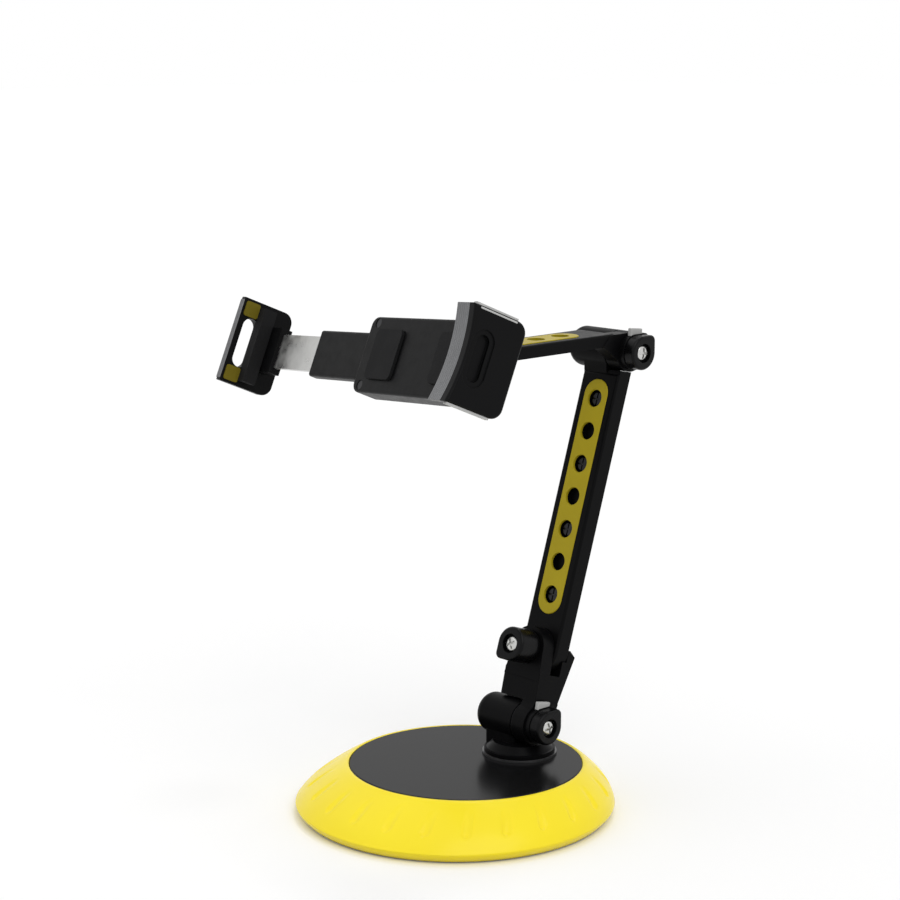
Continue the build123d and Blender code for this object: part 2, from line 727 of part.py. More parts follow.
def make_strip(face, start, count, name):
    """Yellow inlay with its row of round holes, on the bar's face."""
    length = strip_length(count)
    with BuildPart() as strip:
        with BuildSketch(shifted(face, -strip_sunk)):
            with Locations((0, start + length / 2)):
                SlotOverall(length, strip_width, rotation=90)
            with Locations(*hole_places(start, count)):
                Circle(strip_hole_radius, mode=Mode.SUBTRACT)
        extrude(amount=strip_thickness)
        chamfer(strip.faces().sort_by(Axis(face.origin, face.z_dir))[-1].outer_wire().edges(), strip_edge)
    save(strip, name)


def make_strip_screws(face, start, count, name):
    """Small pan-head screws at the floor of every second hole."""
    with BuildPart() as screws:
        with BuildSketch(shifted(face, -hole_depth)):
            with Locations(*hole_places(start, count, 2)):
                Circle(strip_screw_head_radius)
        extrude(amount=strip_screw_head_height)
        with BuildSketch(shifted(face, -hole_depth + strip_screw_head_height)):
            with Locations(*hole_places(start, count, 2)):
                Rectangle(2 * strip_screw_head_radius, cross_slot_width)
                Rectangle(cross_slot_width, 2 * strip_screw_head_radius)
        extrude(amount=-cross_slot_depth, mode=Mode.SUBTRACT)
        with BuildSketch(shifted(face, -hole_depth)):
            with Locations(*hole_places(start, count, 2)):
                Circle(screw_radius)
        extrude(amount=-strip_screw_reach)
    save(screws, name)


def cut_strip_seat(face, start, count):
    """Groove for the strip, its round pockets and the screws' pilot holes, cut from the open part."""
    length = strip_length(count)
    with BuildSketch(face) as groove:
        with Locations((0, start + length / 2)):
            SlotOverall(length + 2 * strip_clearance, strip_width + 2 * strip_clearance, rotation=90)
    extrude(groove.sketch, amount=-strip_sunk, mode=Mode.SUBTRACT)
    with BuildSketch(face) as pockets:
        with Locations(*hole_places(start, count)):
            Circle(strip_hole_radius)
    extrude(pockets.sketch, amount=-hole_depth, mode=Mode.SUBTRACT)
    with BuildSketch(shifted(face, -hole_depth)) as pilots:
        with Locations(*hole_places(start, count, 2)):
            Circle(screw_radius)
    extrude(pilots.sketch, amount=-strip_screw_reach, mode=Mode.SUBTRACT)


def cut_cores(face, thickness, start, count):
    """Hollows between cross ribs in the bar's hidden side, from the open part."""
    places = [(0, start + strip_end_margin + (k + 0.5) * hole_pitch) for k in range(count - 1)]
    with BuildSketch(shifted(face, -thickness)) as hollows:
        with Locations(*places):
            Rectangle(bar_width - 2 * core_side_wall, hole_pitch - core_wall)
    extrude(hollows.sketch, amount=core_depth, mode=Mode.SUBTRACT)


lower_front = shifted(arm_face, -lower_bar_front)
with BuildPart() as lower_arm:
    with BuildSketch(lower_front):
        with Locations((0, pivot_reach)):
            Circle(half_bar)
        with Locations((0, (pivot_reach + lower_bar_end) / 2)):
            Rectangle(bar_width, lower_bar_end - pivot_reach)
    extrude(amount=-lower_bar_thickness)
    fillet(lower_arm.faces().sort_by(Axis(arm_face.origin, arm_face.z_dir))[-1].edges(), bar_edge)
    # root that rises to the upper barrel
    with BuildSketch(shifted(arm_side, -half_bar)):
        with BuildLine():
            Polyline((lower_bar_front + root_step, lower_bar_end - root_start),
                     (lower_bar_front + lower_bar_thickness, lower_bar_end - root_start),
                     (upper_hinge_back + root_back, hinge_span - root_below), (upper_hinge_back, hinge_span),
                     (upper_hinge_back - root_front, hinge_span - root_below),
                     (lower_bar_front + root_step, lower_bar_end - root_start))
        make_face()
    extrude(amount=half_bar + barrel_right)
    with BuildSketch(shifted(upper_pin, -upper_barrel_left)):
        Circle(barrel_radius)
    extrude(amount=upper_barrel_left + barrel_right)
    fillet(lower_arm.edges().filter_by(GeomType.CIRCLE).sort_by(Axis.X)[0], barrel_dome)
    cut_strip_seat(lower_front, lower_strip_start, lower_hole_count)
    cut_cores(lower_front, lower_bar_thickness, lower_strip_start, lower_hole_count)
    with BuildSketch(shifted(pivot, -slot_back)):
        Circle(bolt_radius + pin_clearance)
    extrude(amount=slot_back, mode=Mode.SUBTRACT)
    with BuildSketch(shifted(upper_pin, -upper_barrel_left + nut_setback)):
        Circle(bolt_radius + pin_clearance)
    extrude(amount=upper_barrel_left + barrel_right, mode=Mode.SUBTRACT)
    with BuildSketch(shifted(upper_pin, -upper_barrel_left + nut_setback)):
        Circle(nut_radius)
    extrude(amount=nut_length, mode=Mode.SUBTRACT)
save(lower_arm, "lower_arm")
make_strip(lower_front, lower_strip_start, lower_hole_count, "lower_arm_strip")
make_strip_screws(lower_front, lower_strip_start, lower_hole_count, "lower_strip_screws")

upper_top = shifted(upper_face, upper_bar_top)
stud_axis = Plane(origin=ball_centre, x_dir=(1, 0, 0), z_dir=forward)
with BuildPart() as upper_arm:
    with BuildSketch(upper_top):
        with Locations((0, (upper_bar_start + upper_bar_end) / 2)):
            Rectangle(bar_width, upper_bar_end - upper_bar_start)
    extrude(amount=-upper_bar_thickness)
    upright_edges = upper_arm.edges().filter_by(Axis(upper_face.origin, upper_face.z_dir))
    fillet(upright_edges.group_by(Axis.Y)[0], upper_bar_corner)
    fillet(upper_arm.faces().sort_by(Axis(upper_face.origin, upper_face.z_dir))[-1].edges(), bar_edge)
    # knuckle on the pin and the cheek that joins it to the bar
    with BuildSketch(shifted(upper_pin, knuckle_left)):
        Circle(knuckle_radius)
    extrude(amount=knuckle_width)
    with BuildSketch(shifted(upper_side, -knuckle_right)):
        with BuildLine():
            Polyline((0, upper_bar_top - cheek_rise),
                     (upper_bar_start + cheek_near, upper_bar_top - cheek_rise),
                     (upper_bar_start + cheek_far, upper_bar_top - upper_bar_thickness + cheek_rise),
                     (cheek_back, -cheek_below), (0, upper_bar_top - cheek_rise))
        make_face()
    extrude(amount=knuckle_width)
    # boss for the ball's stud
    with BuildSketch(shifted(stud_axis, -stud_reach - stud_root)):
        Circle(stud_boss_radius)
    extrude(amount=stud_boss_length + stud_root)
    cut_strip_seat(upper_top, upper_strip_start, upper_hole_count)
    cut_cores(upper_top, upper_bar_thickness, upper_strip_start, upper_hole_count)
    with BuildSketch(shifted(upper_pin, knuckle_left)):
        Circle(bolt_radius + pin_clearance)
    extrude(amount=knuckle_width, mode=Mode.SUBTRACT)
    with BuildSketch(shifted(stud_axis, -stud_reach - stud_seated)):
        Circle(stud_tail_radius)
    extrude(amount=stud_boss_length + stud_seated, mode=Mode.SUBTRACT)
save(upper_arm, "upper_arm")
make_strip(upper_top, upper_strip_start, upper_hole_count, "upper_arm_strip")
make_strip_screws(upper_top, upper_strip_start, upper_hole_count, "upper_strip_screws")


# Ball joint
with BuildPart() as ball_stud:
    with BuildSketch(Plane(origin=ball_centre, x_dir=upper_face.z_dir, z_dir=(1, 0, 0))):
        with BuildLine():
            CenterArc((0, 0), ball_radius, -90, 180)
            Line((0, ball_radius), (0, -ball_radius))
        make_face()
    revolve(axis=Axis(ball_centre, forward))
    with BuildSketch(shifted(stud_axis, -stud_reach + stud_boss_length)):
        Circle(ball_neck_radius)
    extrude(amount=stud_reach - stud_boss_length)
    with BuildSketch(shifted(stud_axis, -stud_reach - stud_seated)):
        Circle(stud_tail_radius)
    extrude(amount=stud_boss_length + stud_seated)
save(ball_stud, "ball_stud")

seat_inner = ball_radius + ball_gap
seat_outer = seat_inner + seat_thickness
cavity_radius = seat_outer + ball_gap
# half section through the clamp's axis: local x is the radius, local y the way out to the clamp
section = Plane(origin=ball_centre, x_dir=clamp_right, z_dir=clamp_right.cross(clamp_out))
clamp_axis = Axis(ball_centre, clamp_out)


def polar(radius, angle):
    """Point of the half section at an angle from the clamp's axis."""
    return (radius * sin(radians(angle)), radius * cos(radians(angle)))


with BuildPart() as ball_seat:
    with BuildSketch(section):
        with BuildLine():
            ThreePointArc(polar(seat_inner, 0), polar(seat_inner, seat_edge_angle / 2),
                          polar(seat_inner, seat_edge_angle))
            Line(polar(seat_inner, seat_edge_angle), polar(seat_outer, seat_edge_angle))
            ThreePointArc(polar(seat_outer, seat_edge_angle), polar(seat_outer, seat_edge_angle / 2),
                          polar(seat_outer, 0))
            Line(polar(seat_outer, 0), polar(seat_inner, 0))
        make_face()
    revolve(axis=clamp_axis)
save(ball_seat, "ball_seat")

lip_angle = 180 - opening_angle
lip_back = polar(seat_inner, lip_angle)
collar_inner = socket_outer + collar_clearance
collar_outer = socket_outer + collar_wall
with BuildPart() as socket_collar:
    with BuildSketch(section):
        with BuildLine():
            ThreePointArc(polar(seat_inner, lip_angle), polar(seat_inner, (lip_angle + cup_angle) / 2),
                          polar(seat_inner, cup_angle))
            Line(polar(seat_inner, cup_angle), (collar_inner, polar(seat_inner, cup_angle)[1]))
            Line((collar_inner, polar(seat_inner, cup_angle)[1]), (collar_inner, collar_front))
            Line((collar_inner, collar_front), (collar_outer, collar_front))
            Line((collar_outer, collar_front), (collar_outer, -collar_back + socket_bevel))
            Line((collar_outer, -collar_back + socket_bevel), (collar_outer - socket_bevel, -collar_back))
            Line((collar_outer - socket_bevel, -collar_back), (lip_back[0] + socket_lip, -collar_back))
            Line((lip_back[0] + socket_lip, -collar_back), lip_back)
        make_face()
    revolve(axis=clamp_axis)
    # finger grooves round the collar
    with BuildSketch(shifted(clamp, -collar_back)):
        with PolarLocations(collar_outer + finger_groove_out, finger_groove_count):
            Circle(finger_groove_radius)
    extrude(amount=collar_back + collar_front - overrun, mode=Mode.SUBTRACT)
save(socket_collar, "socket_collar")


# Clamp
housing_middle_x = (housing_right - housing_left) / 2
housing_length = housing_right + housing_left
slider_back = slide_middle - slider_thickness / 2
housing_screw_row = housing_height / 2 - housing_screw_side
housing_screw_columns = (housing_screw_left - housing_left, housing_right - housing_screw_right)
housing_screw_places = [(x, -jaw_drop + y) for x in housing_screw_columns
                        for y in (-housing_screw_row, housing_screw_row)]
back_pad_middles = [(-back_pad_left, -jaw_drop), (back_pad_right, -jaw_drop)]


def housing_outline():
    with Locations((housing_middle_x, -jaw_drop)):
        RectangleRounded(housing_length, housing_height, housing_corner)


def cut_channel(z, amount):
    """The flat way that the slider runs in, open at the housing's left end."""
    with BuildSketch(shifted(clamp, z)) as way:
        with Locations((housing_middle_x - overrun, -jaw_drop)):
            Rectangle(housing_length + 2 * overrun, slider_width + 2 * slide_clearance)
    extrude(way.sketch, amount=amount, mode=Mode.SUBTRACT)


with BuildPart() as housing_rear:
    with BuildSketch(shifted(clamp, housing_back)):
        housing_outline()
    extrude(amount=slide_middle - housing_back)
    fillet(housing_rear.faces().sort_by(clamp_axis)[0].edges(), housing_rear_edge)
    # cup of the ball joint
    cup_back = polar(seat_inner, cup_angle)[1] + slide_clearance
    with BuildSketch(shifted(clamp, cup_back)):
        Circle(socket_outer)
    extrude(amount=housing_back - cup_back + overrun)
    with BuildSketch(section):
        with BuildLine():
            Line((0, cup_back - overrun), (0, cavity_radius))
            CenterArc((0, 0), cavity_radius, 90, -90)
            Line((cavity_radius, 0), (cavity_radius, cup_back - overrun))
            Line((cavity_radius, cup_back - overrun), (0, cup_back - overrun))
        make_face()
    revolve(axis=clamp_axis, mode=Mode.SUBTRACT)
    cut_channel(slider_back - slide_clearance, slide_middle - slider_back + slide_clearance + overrun)
    with BuildSketch(shifted(clamp, slide_middle - housing_screw_reach)):
        with Locations(*housing_screw_places):
            Circle(housing_screw_radius)
    extrude(amount=housing_screw_reach, mode=Mode.SUBTRACT)
save(housing_rear, "housing_rear")

with BuildPart() as housing_cover:
    with BuildSketch(shifted(clamp, slide_middle)):
        housing_outline()
    extrude(amount=housing_front - slide_middle)
    fillet(housing_cover.faces().sort_by(clamp_axis)[-1].edges(), housing_front_edge)
    cut_channel(slide_middle - overrun, slider_thickness / 2 + slide_clearance + overrun)
    with BuildSketch(shifted(clamp, slide_middle)):
        with Locations(*housing_screw_places):
            Circle(housing_screw_radius)
    extrude(amount=housing_front - slide_middle, mode=Mode.SUBTRACT)
    with BuildSketch(shifted(clamp, housing_front)):
        with Locations(*housing_screw_places):
            Circle(housing_screw_head)
    extrude(amount=-housing_screw_sunk, mode=Mode.SUBTRACT)
    # shallow seats of the back pads
    with BuildSketch(shifted(clamp, housing_front - back_pad_seat)):
        with Locations(*back_pad_middles):
            RectangleRounded(back_pad_width + seat_room, back_pad_height + seat_room, back_pad_corner)
    extrude(amount=back_pad_seat + overrun, mode=Mode.SUBTRACT)
save(housing_cover, "housing_cover")

with BuildPart() as housing_screws:
    with BuildSketch(shifted(clamp, slide_middle - housing_screw_reach)):
        with Locations(*housing_screw_places):
            Circle(housing_screw_radius)
    extrude(amount=housing_front - slide_middle + housing_screw_reach - housing_screw_sunk)
    with BuildSketch(shifted(clamp, housing_front - housing_screw_sunk)):
        with Locations(*housing_screw_places):
            Circle(housing_screw_head)
    extrude(amount=housing_screw_cap)
save(housing_screws, "housing_screws")

with BuildPart() as back_pads:
    with BuildSketch(shifted(clamp, housing_front - back_pad_seat)):
        with Locations(*back_pad_middles):
            RectangleRounded(back_pad_width, back_pad_height, back_pad_corner)
    extrude(amount=housing_pad + back_pad_seat)
save(back_pads, "back_pads")

# Slider, tongue and the moving left jaw
slider_right = -housing_left + slider_engaged
slider_left = slider_right - slider_length
tongue_right = slider_left + tongue_engaged
tongue_left = tongue_right - tongue_length
with BuildPart() as slider:
    with BuildSketch(shifted(clamp, slider_back)):
        with Locations(((slider_left + slider_right) / 2, -jaw_drop)):
            Rectangle(slider_length, slider_width)
    extrude(amount=slider_thickness)
    fillet(slider.edges().filter_by(Axis(clamp.origin, clamp.x_dir)), slider_edge)
    with BuildSketch(shifted(clamp, slide_middle - tongue_thickness / 2 - slide_clearance)):
        with Locations(((slider_left + slider_right) / 2, -jaw_drop)):
            Rectangle(slider_length, tongue_width + 2 * slide_clearance)
    extrude(amount=tongue_thickness + 2 * slide_clearance, mode=Mode.SUBTRACT)
save(slider, "slider")

root_right = tablet_left + left_root_reach
with BuildPart() as tongue:
    with BuildSketch(shifted(clamp, slide_middle - tongue_thickness / 2)):
        with Locations(((tongue_left + tongue_right) / 2, -jaw_drop)):
            Rectangle(tongue_right - tongue_left, tongue_width)
    extrude(amount=tongue_thickness)
save(tongue, "tongue")

half_jaw = jaw_height / 2
jaw_rear = screen_out - right_jaw_back
jaw_front = screen_out + right_jaw_front
left_wall_outside = tablet_left - left_jaw_outer
left_wall_inside = left_wall_outside + left_wall
left_corner = clamp.from_local_coords(Vector(left_wall_outside, -jaw_drop, 0))
# seen from the tablet's side: local x up the tablet, local y out of the screen
left_side = Plane(origin=left_corner, x_dir=clamp.y_dir, z_dir=clamp.x_dir)
with BuildPart() as left_jaw:
    with BuildSketch(left_side) as outline:
        with Locations((0, (jaw_rear + jaw_front) / 2)):
            Rectangle(jaw_height, jaw_front - jaw_rear)
        fillet(outline.vertices().group_by(Axis.Y)[0], right_jaw_corner)
    extrude(amount=left_wall)
    fillet(left_jaw.faces().sort_by(Axis(clamp.origin, clamp.x_dir))[0].edges(), jaw_softening)
    with BuildSketch(left_side):
        with Locations((0, screen_out - left_slot_back_from_screen)):
            SlotOverall(left_slot_length, left_slot_width)
    extrude(amount=left_wall, mode=Mode.SUBTRACT)
    # root behind the tablet that holds the tongue
    with BuildSketch(shifted(clamp, slide_middle - slider_thickness / 2)):
        with Locations(((left_wall_inside - jaw_root_overlap + root_right) / 2, -jaw_drop)):
            Rectangle(root_right - left_wall_inside + jaw_root_overlap, slider_width)
    extrude(amount=slider_thickness)
    with BuildSketch(shifted(clamp, slide_middle - tongue_thickness / 2)):
        with Locations(((tongue_left + root_right + overrun) / 2, -jaw_drop)):
            Rectangle(root_right + overrun - tongue_left, tongue_width)
    extrude(amount=tongue_thickness, mode=Mode.SUBTRACT)
save(left_jaw, "left_jaw")

pad_middle = jaw_front - yellow_pad_margin - yellow_pad_depth / 2
pad_rise = half_jaw - yellow_pad_margin - yellow_pad_height / 2
with BuildPart() as yellow_pads:
    with BuildSketch(shifted(left_side, left_wall)):
        with Locations((pad_rise, pad_middle), (-pad_rise, pad_middle)):
            RectangleRounded(yellow_pad_height, yellow_pad_depth, yellow_pad_corner)
    extrude(amount=yellow_pad_thickness)
save(yellow_pads, "yellow_pads")

# Rubber between the left wall and the tablet's edge, behind the level of the glass
left_pad_back = slide_middle + slider_thickness / 2 + left_pad_gap
left_pad_front = screen_out - left_pad_back_from_screen
with BuildPart() as left_jaw_pad:
    with BuildSketch(shifted(clamp, left_pad_back)):
        with Locations(((left_wall_inside + tablet_left) / 2, -jaw_drop)):
            Rectangle(tablet_left - left_wall_inside, jaw_height - 2 * jaw_pad_border)
    extrude(amount=left_pad_front - left_pad_back)
save(left_jaw_pad, "left_jaw_pad")

# Fixed right jaw
jaw_left = right_reach + jaw_pad
jaw_corner = clamp.from_local_coords(Vector(jaw_left, -jaw_drop, 0))
jaw_side = Plane(origin=jaw_corner, x_dir=clamp.y_dir, z_dir=clamp.x_dir)
with BuildPart() as right_jaw:
    # seen from its outside: local x up the tablet, local y out of the screen
    with BuildSketch(jaw_side) as outline:
        with BuildLine():
            Polyline((-half_jaw, jaw_front), (-half_jaw, jaw_rear),
                     (half_jaw, jaw_rear), (half_jaw, jaw_front))
            ThreePointArc((half_jaw, jaw_front), (0, jaw_front - grip_bow), (-half_jaw, jaw_front))
        make_face()
        fillet(outline.vertices().group_by(Axis.Y)[0], right_jaw_corner)
    extrude(amount=right_jaw_wall)
    fillet(right_jaw.faces().sort_by(Axis(clamp.origin, clamp.x_dir))[-1].edges(), jaw_softening)
    # blind slot in the outer face
    with BuildSketch(shifted(jaw_side, right_jaw_wall)):
        with Locations((0, screen_out - slot_back_from_screen)):
            SlotOverall(slot_length, slot_width)
    extrude(amount=-slot_depth, mode=Mode.SUBTRACT)
    with BuildSketch(shifted(jaw_side, right_jaw_wall)):
        with Locations((0, screen_out - slot_back_from_screen)):
            SlotOverall(slot_rim_length, slot_rim_width)
    extrude(amount=-slot_rim_depth, mode=Mode.SUBTRACT)
    # root that closes the housing's channel
    with BuildSketch(shifted(clamp, slider_back - slide_clearance)):
        with Locations((jaw_left + jaw_root_overlap - jaw_root_length / 2, -jaw_drop)):
            Rectangle(jaw_root_length, slider_width + 2 * slide_clearance)
    extrude(amount=slider_thickness + 2 * slide_clearance)
save(right_jaw, "right_jaw")

# Grey lip over the tablet's right edge, bowed so that only its middle is near the glass
lip_left = right_reach - grip_width
with BuildPart() as right_grip:
    with BuildSketch(Plane(origin=jaw_side.origin + clamp_right * (lip_left - jaw_left), x_dir=clamp.y_dir,
                           z_dir=clamp_right)):
        with BuildLine():
            ThreePointArc((half_jaw, jaw_front), (0, jaw_front - grip_bow), (-half_jaw, jaw_front))
            Line((-half_jaw, jaw_front), (-half_jaw, jaw_front - grip_thickness))
            ThreePointArc((-half_jaw, jaw_front - grip_thickness),
                          (0, jaw_front - grip_bow - grip_thickness),
                          (half_jaw, jaw_front - grip_thickness))
            Line((half_jaw, jaw_front - grip_thickness), (half_jaw, jaw_front))
        make_face()
    extrude(amount=grip_width + jaw_pad)
    fillet(right_grip.edges().filter_by(Axis(clamp.origin, clamp_out)), grip_edge)
save(right_grip, "right_grip")

with BuildPart() as right_jaw_pad:
    with BuildSketch(jaw_side):
        with Locations((0, (housing_front + screen_out) / 2)):
            Rectangle(jaw_height - 2 * jaw_pad_border, screen_out - housing_front - jaw_pad_gap)
    extrude(amount=-jaw_pad)
save(right_jaw_pad, "right_jaw_pad")

# Ribbed trim on the jaw's two end faces
trim_start = jaw_rear + right_jaw_corner
trim_length = jaw_front - trim_front - trim_start
with BuildPart() as right_jaw_trim:
    for side in (1, -1):
        end_face = Plane(origin=clamp.from_local_coords(Vector(0, -jaw_drop + side * half_jaw, 0)),
                         x_dir=clamp.z_dir, z_dir=clamp.y_dir * side)
        with BuildSketch(end_face):
            with Locations((trim_start + trim_length / 2, side * (jaw_left + right_jaw_wall / 2))):
                Rectangle(trim_length, right_jaw_wall - 2 * trim_border)
        extrude(amount=trim_thickness)
save(right_jaw_trim, "right_jaw_trim")
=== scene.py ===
"""Finishes a packed tablet desk stand: its surfaces, small mouldings, studio and camera."""
import json
from math import atan2, cos, pi, radians, sin

import bmesh
import bpy
from bpy.props import FloatProperty, FloatVectorProperty, IntProperty, PointerProperty
from bpy.types import Operator, Panel, PropertyGroup
from mathutils import Matrix, Vector


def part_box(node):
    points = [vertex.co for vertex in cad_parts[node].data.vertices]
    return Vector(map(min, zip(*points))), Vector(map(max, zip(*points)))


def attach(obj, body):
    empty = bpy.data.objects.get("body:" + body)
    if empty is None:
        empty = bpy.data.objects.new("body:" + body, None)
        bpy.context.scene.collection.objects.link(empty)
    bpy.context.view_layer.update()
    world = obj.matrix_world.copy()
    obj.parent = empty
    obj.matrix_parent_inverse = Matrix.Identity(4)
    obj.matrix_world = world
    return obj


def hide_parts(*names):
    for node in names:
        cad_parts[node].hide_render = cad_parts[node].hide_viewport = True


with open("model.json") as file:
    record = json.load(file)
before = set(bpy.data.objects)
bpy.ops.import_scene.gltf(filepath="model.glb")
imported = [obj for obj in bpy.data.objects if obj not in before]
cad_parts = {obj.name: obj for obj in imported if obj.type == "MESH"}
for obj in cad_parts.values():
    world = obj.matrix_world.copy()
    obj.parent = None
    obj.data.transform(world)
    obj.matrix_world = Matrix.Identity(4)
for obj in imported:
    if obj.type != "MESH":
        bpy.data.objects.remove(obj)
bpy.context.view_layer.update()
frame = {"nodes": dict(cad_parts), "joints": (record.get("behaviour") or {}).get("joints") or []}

bl_info = {
    "name": "Tablet desk stand",
    "version": (1, 1, 0),
    "blender": (4, 5, 0),
    "location": "3D View > Sidebar > Stand",
    "description": "Finishes the pieces of a tablet desk stand and sets up its studio",
    "category": "Object",
}

joints = {joint["name"]: joint for joint in frame["joints"]}

# The clamp's own directions, from the joints that move it
clamp_out = Vector(joints["clamp_spin"]["axis"]).normalized()
clamp_right = Vector(joints["slider_travel"]["axis"]).normalized()
clamp_up = clamp_out.cross(clamp_right).normalized()
ball_centre = Vector(joints["clamp_spin"]["pos_m"])
clamp_frame = Matrix((clamp_right, clamp_up, clamp_out)).transposed().to_4x4()
clamp_frame.translation = ball_centre


# Settings

class StandShapes(PropertyGroup):
    """Sizes of the mouldings that are added to the solids."""

    skirt_steps: IntProperty(name="Skirt steps", description="Divisions round the yellow skirt",
                             default=720, min=96)
    dent_count: IntProperty(name="Dents", description="Shallow dents round the skirt", default=24, min=1)
    dent_depth: FloatProperty(name="Dent depth", description="Depth of a dent at its lower end",
                              default=0.0012, unit="LENGTH", subtype="DISTANCE", precision=5)
    dent_width: FloatProperty(name="Dent width", description="Width of a dent at its lower end",
                              default=0.0050, unit="LENGTH", subtype="DISTANCE", precision=5)
    dent_foot: FloatProperty(name="Dent foot", description="Where a dent begins, as a share of the slope",
                             default=0.33, min=0, max=1, subtype="FACTOR")
    dent_head: FloatProperty(name="Dent head", description="Where a dent runs out, as a share of the slope",
                             default=0.85, min=0, max=1, subtype="FACTOR")
    dent_turn: FloatProperty(name="Dent turn", description="Turn of the ring of dents about the base",
                             default=radians(4), unit="ROTATION", subtype="ANGLE")
    head_edge: FloatProperty(name="Screw edge", description="Height of a domed screw's straight edge",
                             default=0.0007, unit="LENGTH", subtype="DISTANCE", precision=5)
    cross_width: FloatProperty(name="Cross width", description="Width of the cross in a domed screw",
                               default=0.0015, unit="LENGTH", subtype="DISTANCE", precision=5)
    cross_length: FloatProperty(name="Cross length", description="Length of the cross in a domed screw",
                                default=0.0072, unit="LENGTH", subtype="DISTANCE", precision=5)
    # These two sizes are of the pale piece on each hinge's collar, a painted highlight where the collar's top
    # catches the light
    tab_width: FloatProperty(name="Highlight tab width", description="Width of the pale tab on a hinge's collar",
                             default=0.0086, unit="LENGTH", subtype="DISTANCE", precision=5)
    highlight_tab_top: FloatProperty(name="Highlight tab top", description="Height of the pale tab above the hinge's axis",
                           default=0.0124, unit="LENGTH", subtype="DISTANCE", precision=5)
    bar_gap: FloatProperty(name="Bar gap", description="From the lower bar's end to the upper hinge's axis",
                           default=0.0134, unit="LENGTH", subtype="DISTANCE", precision=5)
    bar_rise: FloatProperty(name="Bar rise",
                            description="How far the lower bar's shoulder rises towards the hinge",
                            default=0.0021, unit="LENGTH", subtype="DISTANCE", precision=5)
    bar_slant: FloatProperty(name="Bar slant", description="How much farther the shoulder's back edge rises",
                             default=0.0010, unit="LENGTH", subtype="DISTANCE", precision=5)
    rib_width: FloatProperty(name="Rib width", description="Width of a rib on the jaws",
                             default=0.0009, unit="LENGTH", subtype="DISTANCE", precision=5)


class StandFinishes(PropertyGroup):
    """Colours of the stand."""

    shell_yellow: FloatVectorProperty(name="Skirt", description="Colour of the yellow skirt",
                                      default=(1.0, 0.80, 0.022), size=3, subtype="COLOR", min=0, max=1)
    # The arm strips' colour is their own yellow darkened to mustard, a painted shade for the shadow on the
    # lower strip's front face
    strip_yellow_painted_shade: FloatVectorProperty(name="Arm strips", description="Colour of the strips on the arms",
                                      default=(0.42, 0.33, 0.012), size=3, subtype="COLOR", min=0, max=1)
    pad_yellow: FloatVectorProperty(name="Jaw pads", description="Colour of the moving jaw's two pads",
                                    default=(0.15, 0.118, 0.008), size=3, subtype="COLOR", min=0, max=1)
    body_black: FloatVectorProperty(name="Mouldings", description="Colour of the black mouldings",
                                    default=(0.0024, 0.0024, 0.0027), size=3, subtype="COLOR", min=0, max=1)
    plate_grey: FloatVectorProperty(name="Top plate", description="Colour of the dark plate",
                                    default=(0.006, 0.006, 0.0063), size=3, subtype="COLOR", min=0, max=1)
    grip_grey: FloatVectorProperty(name="Grip", description="Colour of the grey grip over the tablet's edge",
                                   default=(0.17, 0.172, 0.178), size=3, subtype="COLOR", min=0, max=1)
    trim_grey: FloatVectorProperty(name="Trim", description="Colour of the ribbed trim on the jaws",
                                   default=(0.52, 0.52, 0.51), size=3, subtype="COLOR", min=0, max=1)
    band_grey: FloatVectorProperty(name="Front band",
                                   description="Colour of the ribbed band on the moving jaw",
                                   default=(0.19, 0.19, 0.195), size=3, subtype="COLOR", min=0, max=1)
    steel: FloatVectorProperty(name="Steel", description="Colour of the bright fasteners",
                               default=(0.60, 0.60, 0.585), size=3, subtype="COLOR", min=0, max=1)
    dark_steel: FloatVectorProperty(name="Dark steel", description="Colour of the blackened fasteners",
                                    default=(0.035, 0.035, 0.037), size=3, subtype="COLOR", min=0, max=1)


class StandStudio(PropertyGroup):
    """Camera, lamps and floor."""

    camera_place: FloatVectorProperty(name="Camera", description="Place of the camera",
                                      default=(0.7921, -0.7423, 0.3891), size=3, subtype="XYZ", unit="LENGTH")
    camera_heading: FloatVectorProperty(name="Heading", description="Direction that the camera looks in",
                                        default=(-0.7191, 0.6706, -0.1824), size=3, subtype="DIRECTION")
    camera_lens: FloatProperty(name="Lens", description="Focal length on a 36 mm frame", default=88.28, min=1)
    sky: FloatProperty(name="Sky", description="Even light from all round", default=0.62, min=0)
    key: FloatProperty(name="Key lamp", description="Strength of the main lamp", default=0.86, min=0)
    fill: FloatProperty(name="Fill lamp", description="Strength of the wide lamp overhead",
                        default=0.30, min=0)
    back: FloatProperty(name="Back lamp", description="Strength of the lamp behind the stand",
                        default=0.30, min=0)
    floor: FloatVectorProperty(name="Floor", description="Colour of the floor",
                               default=(0.97, 0.97, 0.97), size=3, subtype="COLOR", min=0, max=1)
    floor_lift: FloatProperty(name="Floor lift", description="Light that the floor adds to the view of it",
                              default=0.045, min=0)


# Materials

def start_material(name):
    """A new material with its shader and output, and the object's own coordinates."""
    material = bpy.data.materials.new(name)
    material.use_nodes = True
    tree = material.node_tree
    tree.nodes.clear()
    output = tree.nodes.new("ShaderNodeOutputMaterial")
    shader = tree.nodes.new("ShaderNodeBsdfPrincipled")
    place = tree.nodes.new("ShaderNodeTexCoord")
    tree.links.new(shader.outputs["BSDF"], output.inputs["Surface"])
    return material, tree, shader, place.outputs["Object"]


def noise(tree, place, scale, detail=3.0, roughness=0.55):
    """Fractal noise over a place, about a half on the whole."""
    node = tree.nodes.new("ShaderNodeTexNoise")
    node.inputs["Scale"].default_value = scale
    node.inputs["Detail"].default_value = detail
    node.inputs["Roughness"].default_value = roughness
    tree.links.new(place, node.inputs["Vector"])
    return node.outputs["Fac"]


def spread(tree, value, low, high):
    """The middle range of a noise mapped to low..high."""
    node = tree.nodes.new("ShaderNodeMapRange")
    for name, limit in (("From Min", 0.3), ("From Max", 0.7), ("To Min", low), ("To Max", high)):
        node.inputs[name].default_value = limit
    tree.links.new(value, node.inputs["Value"])
    return node.outputs["Result"]


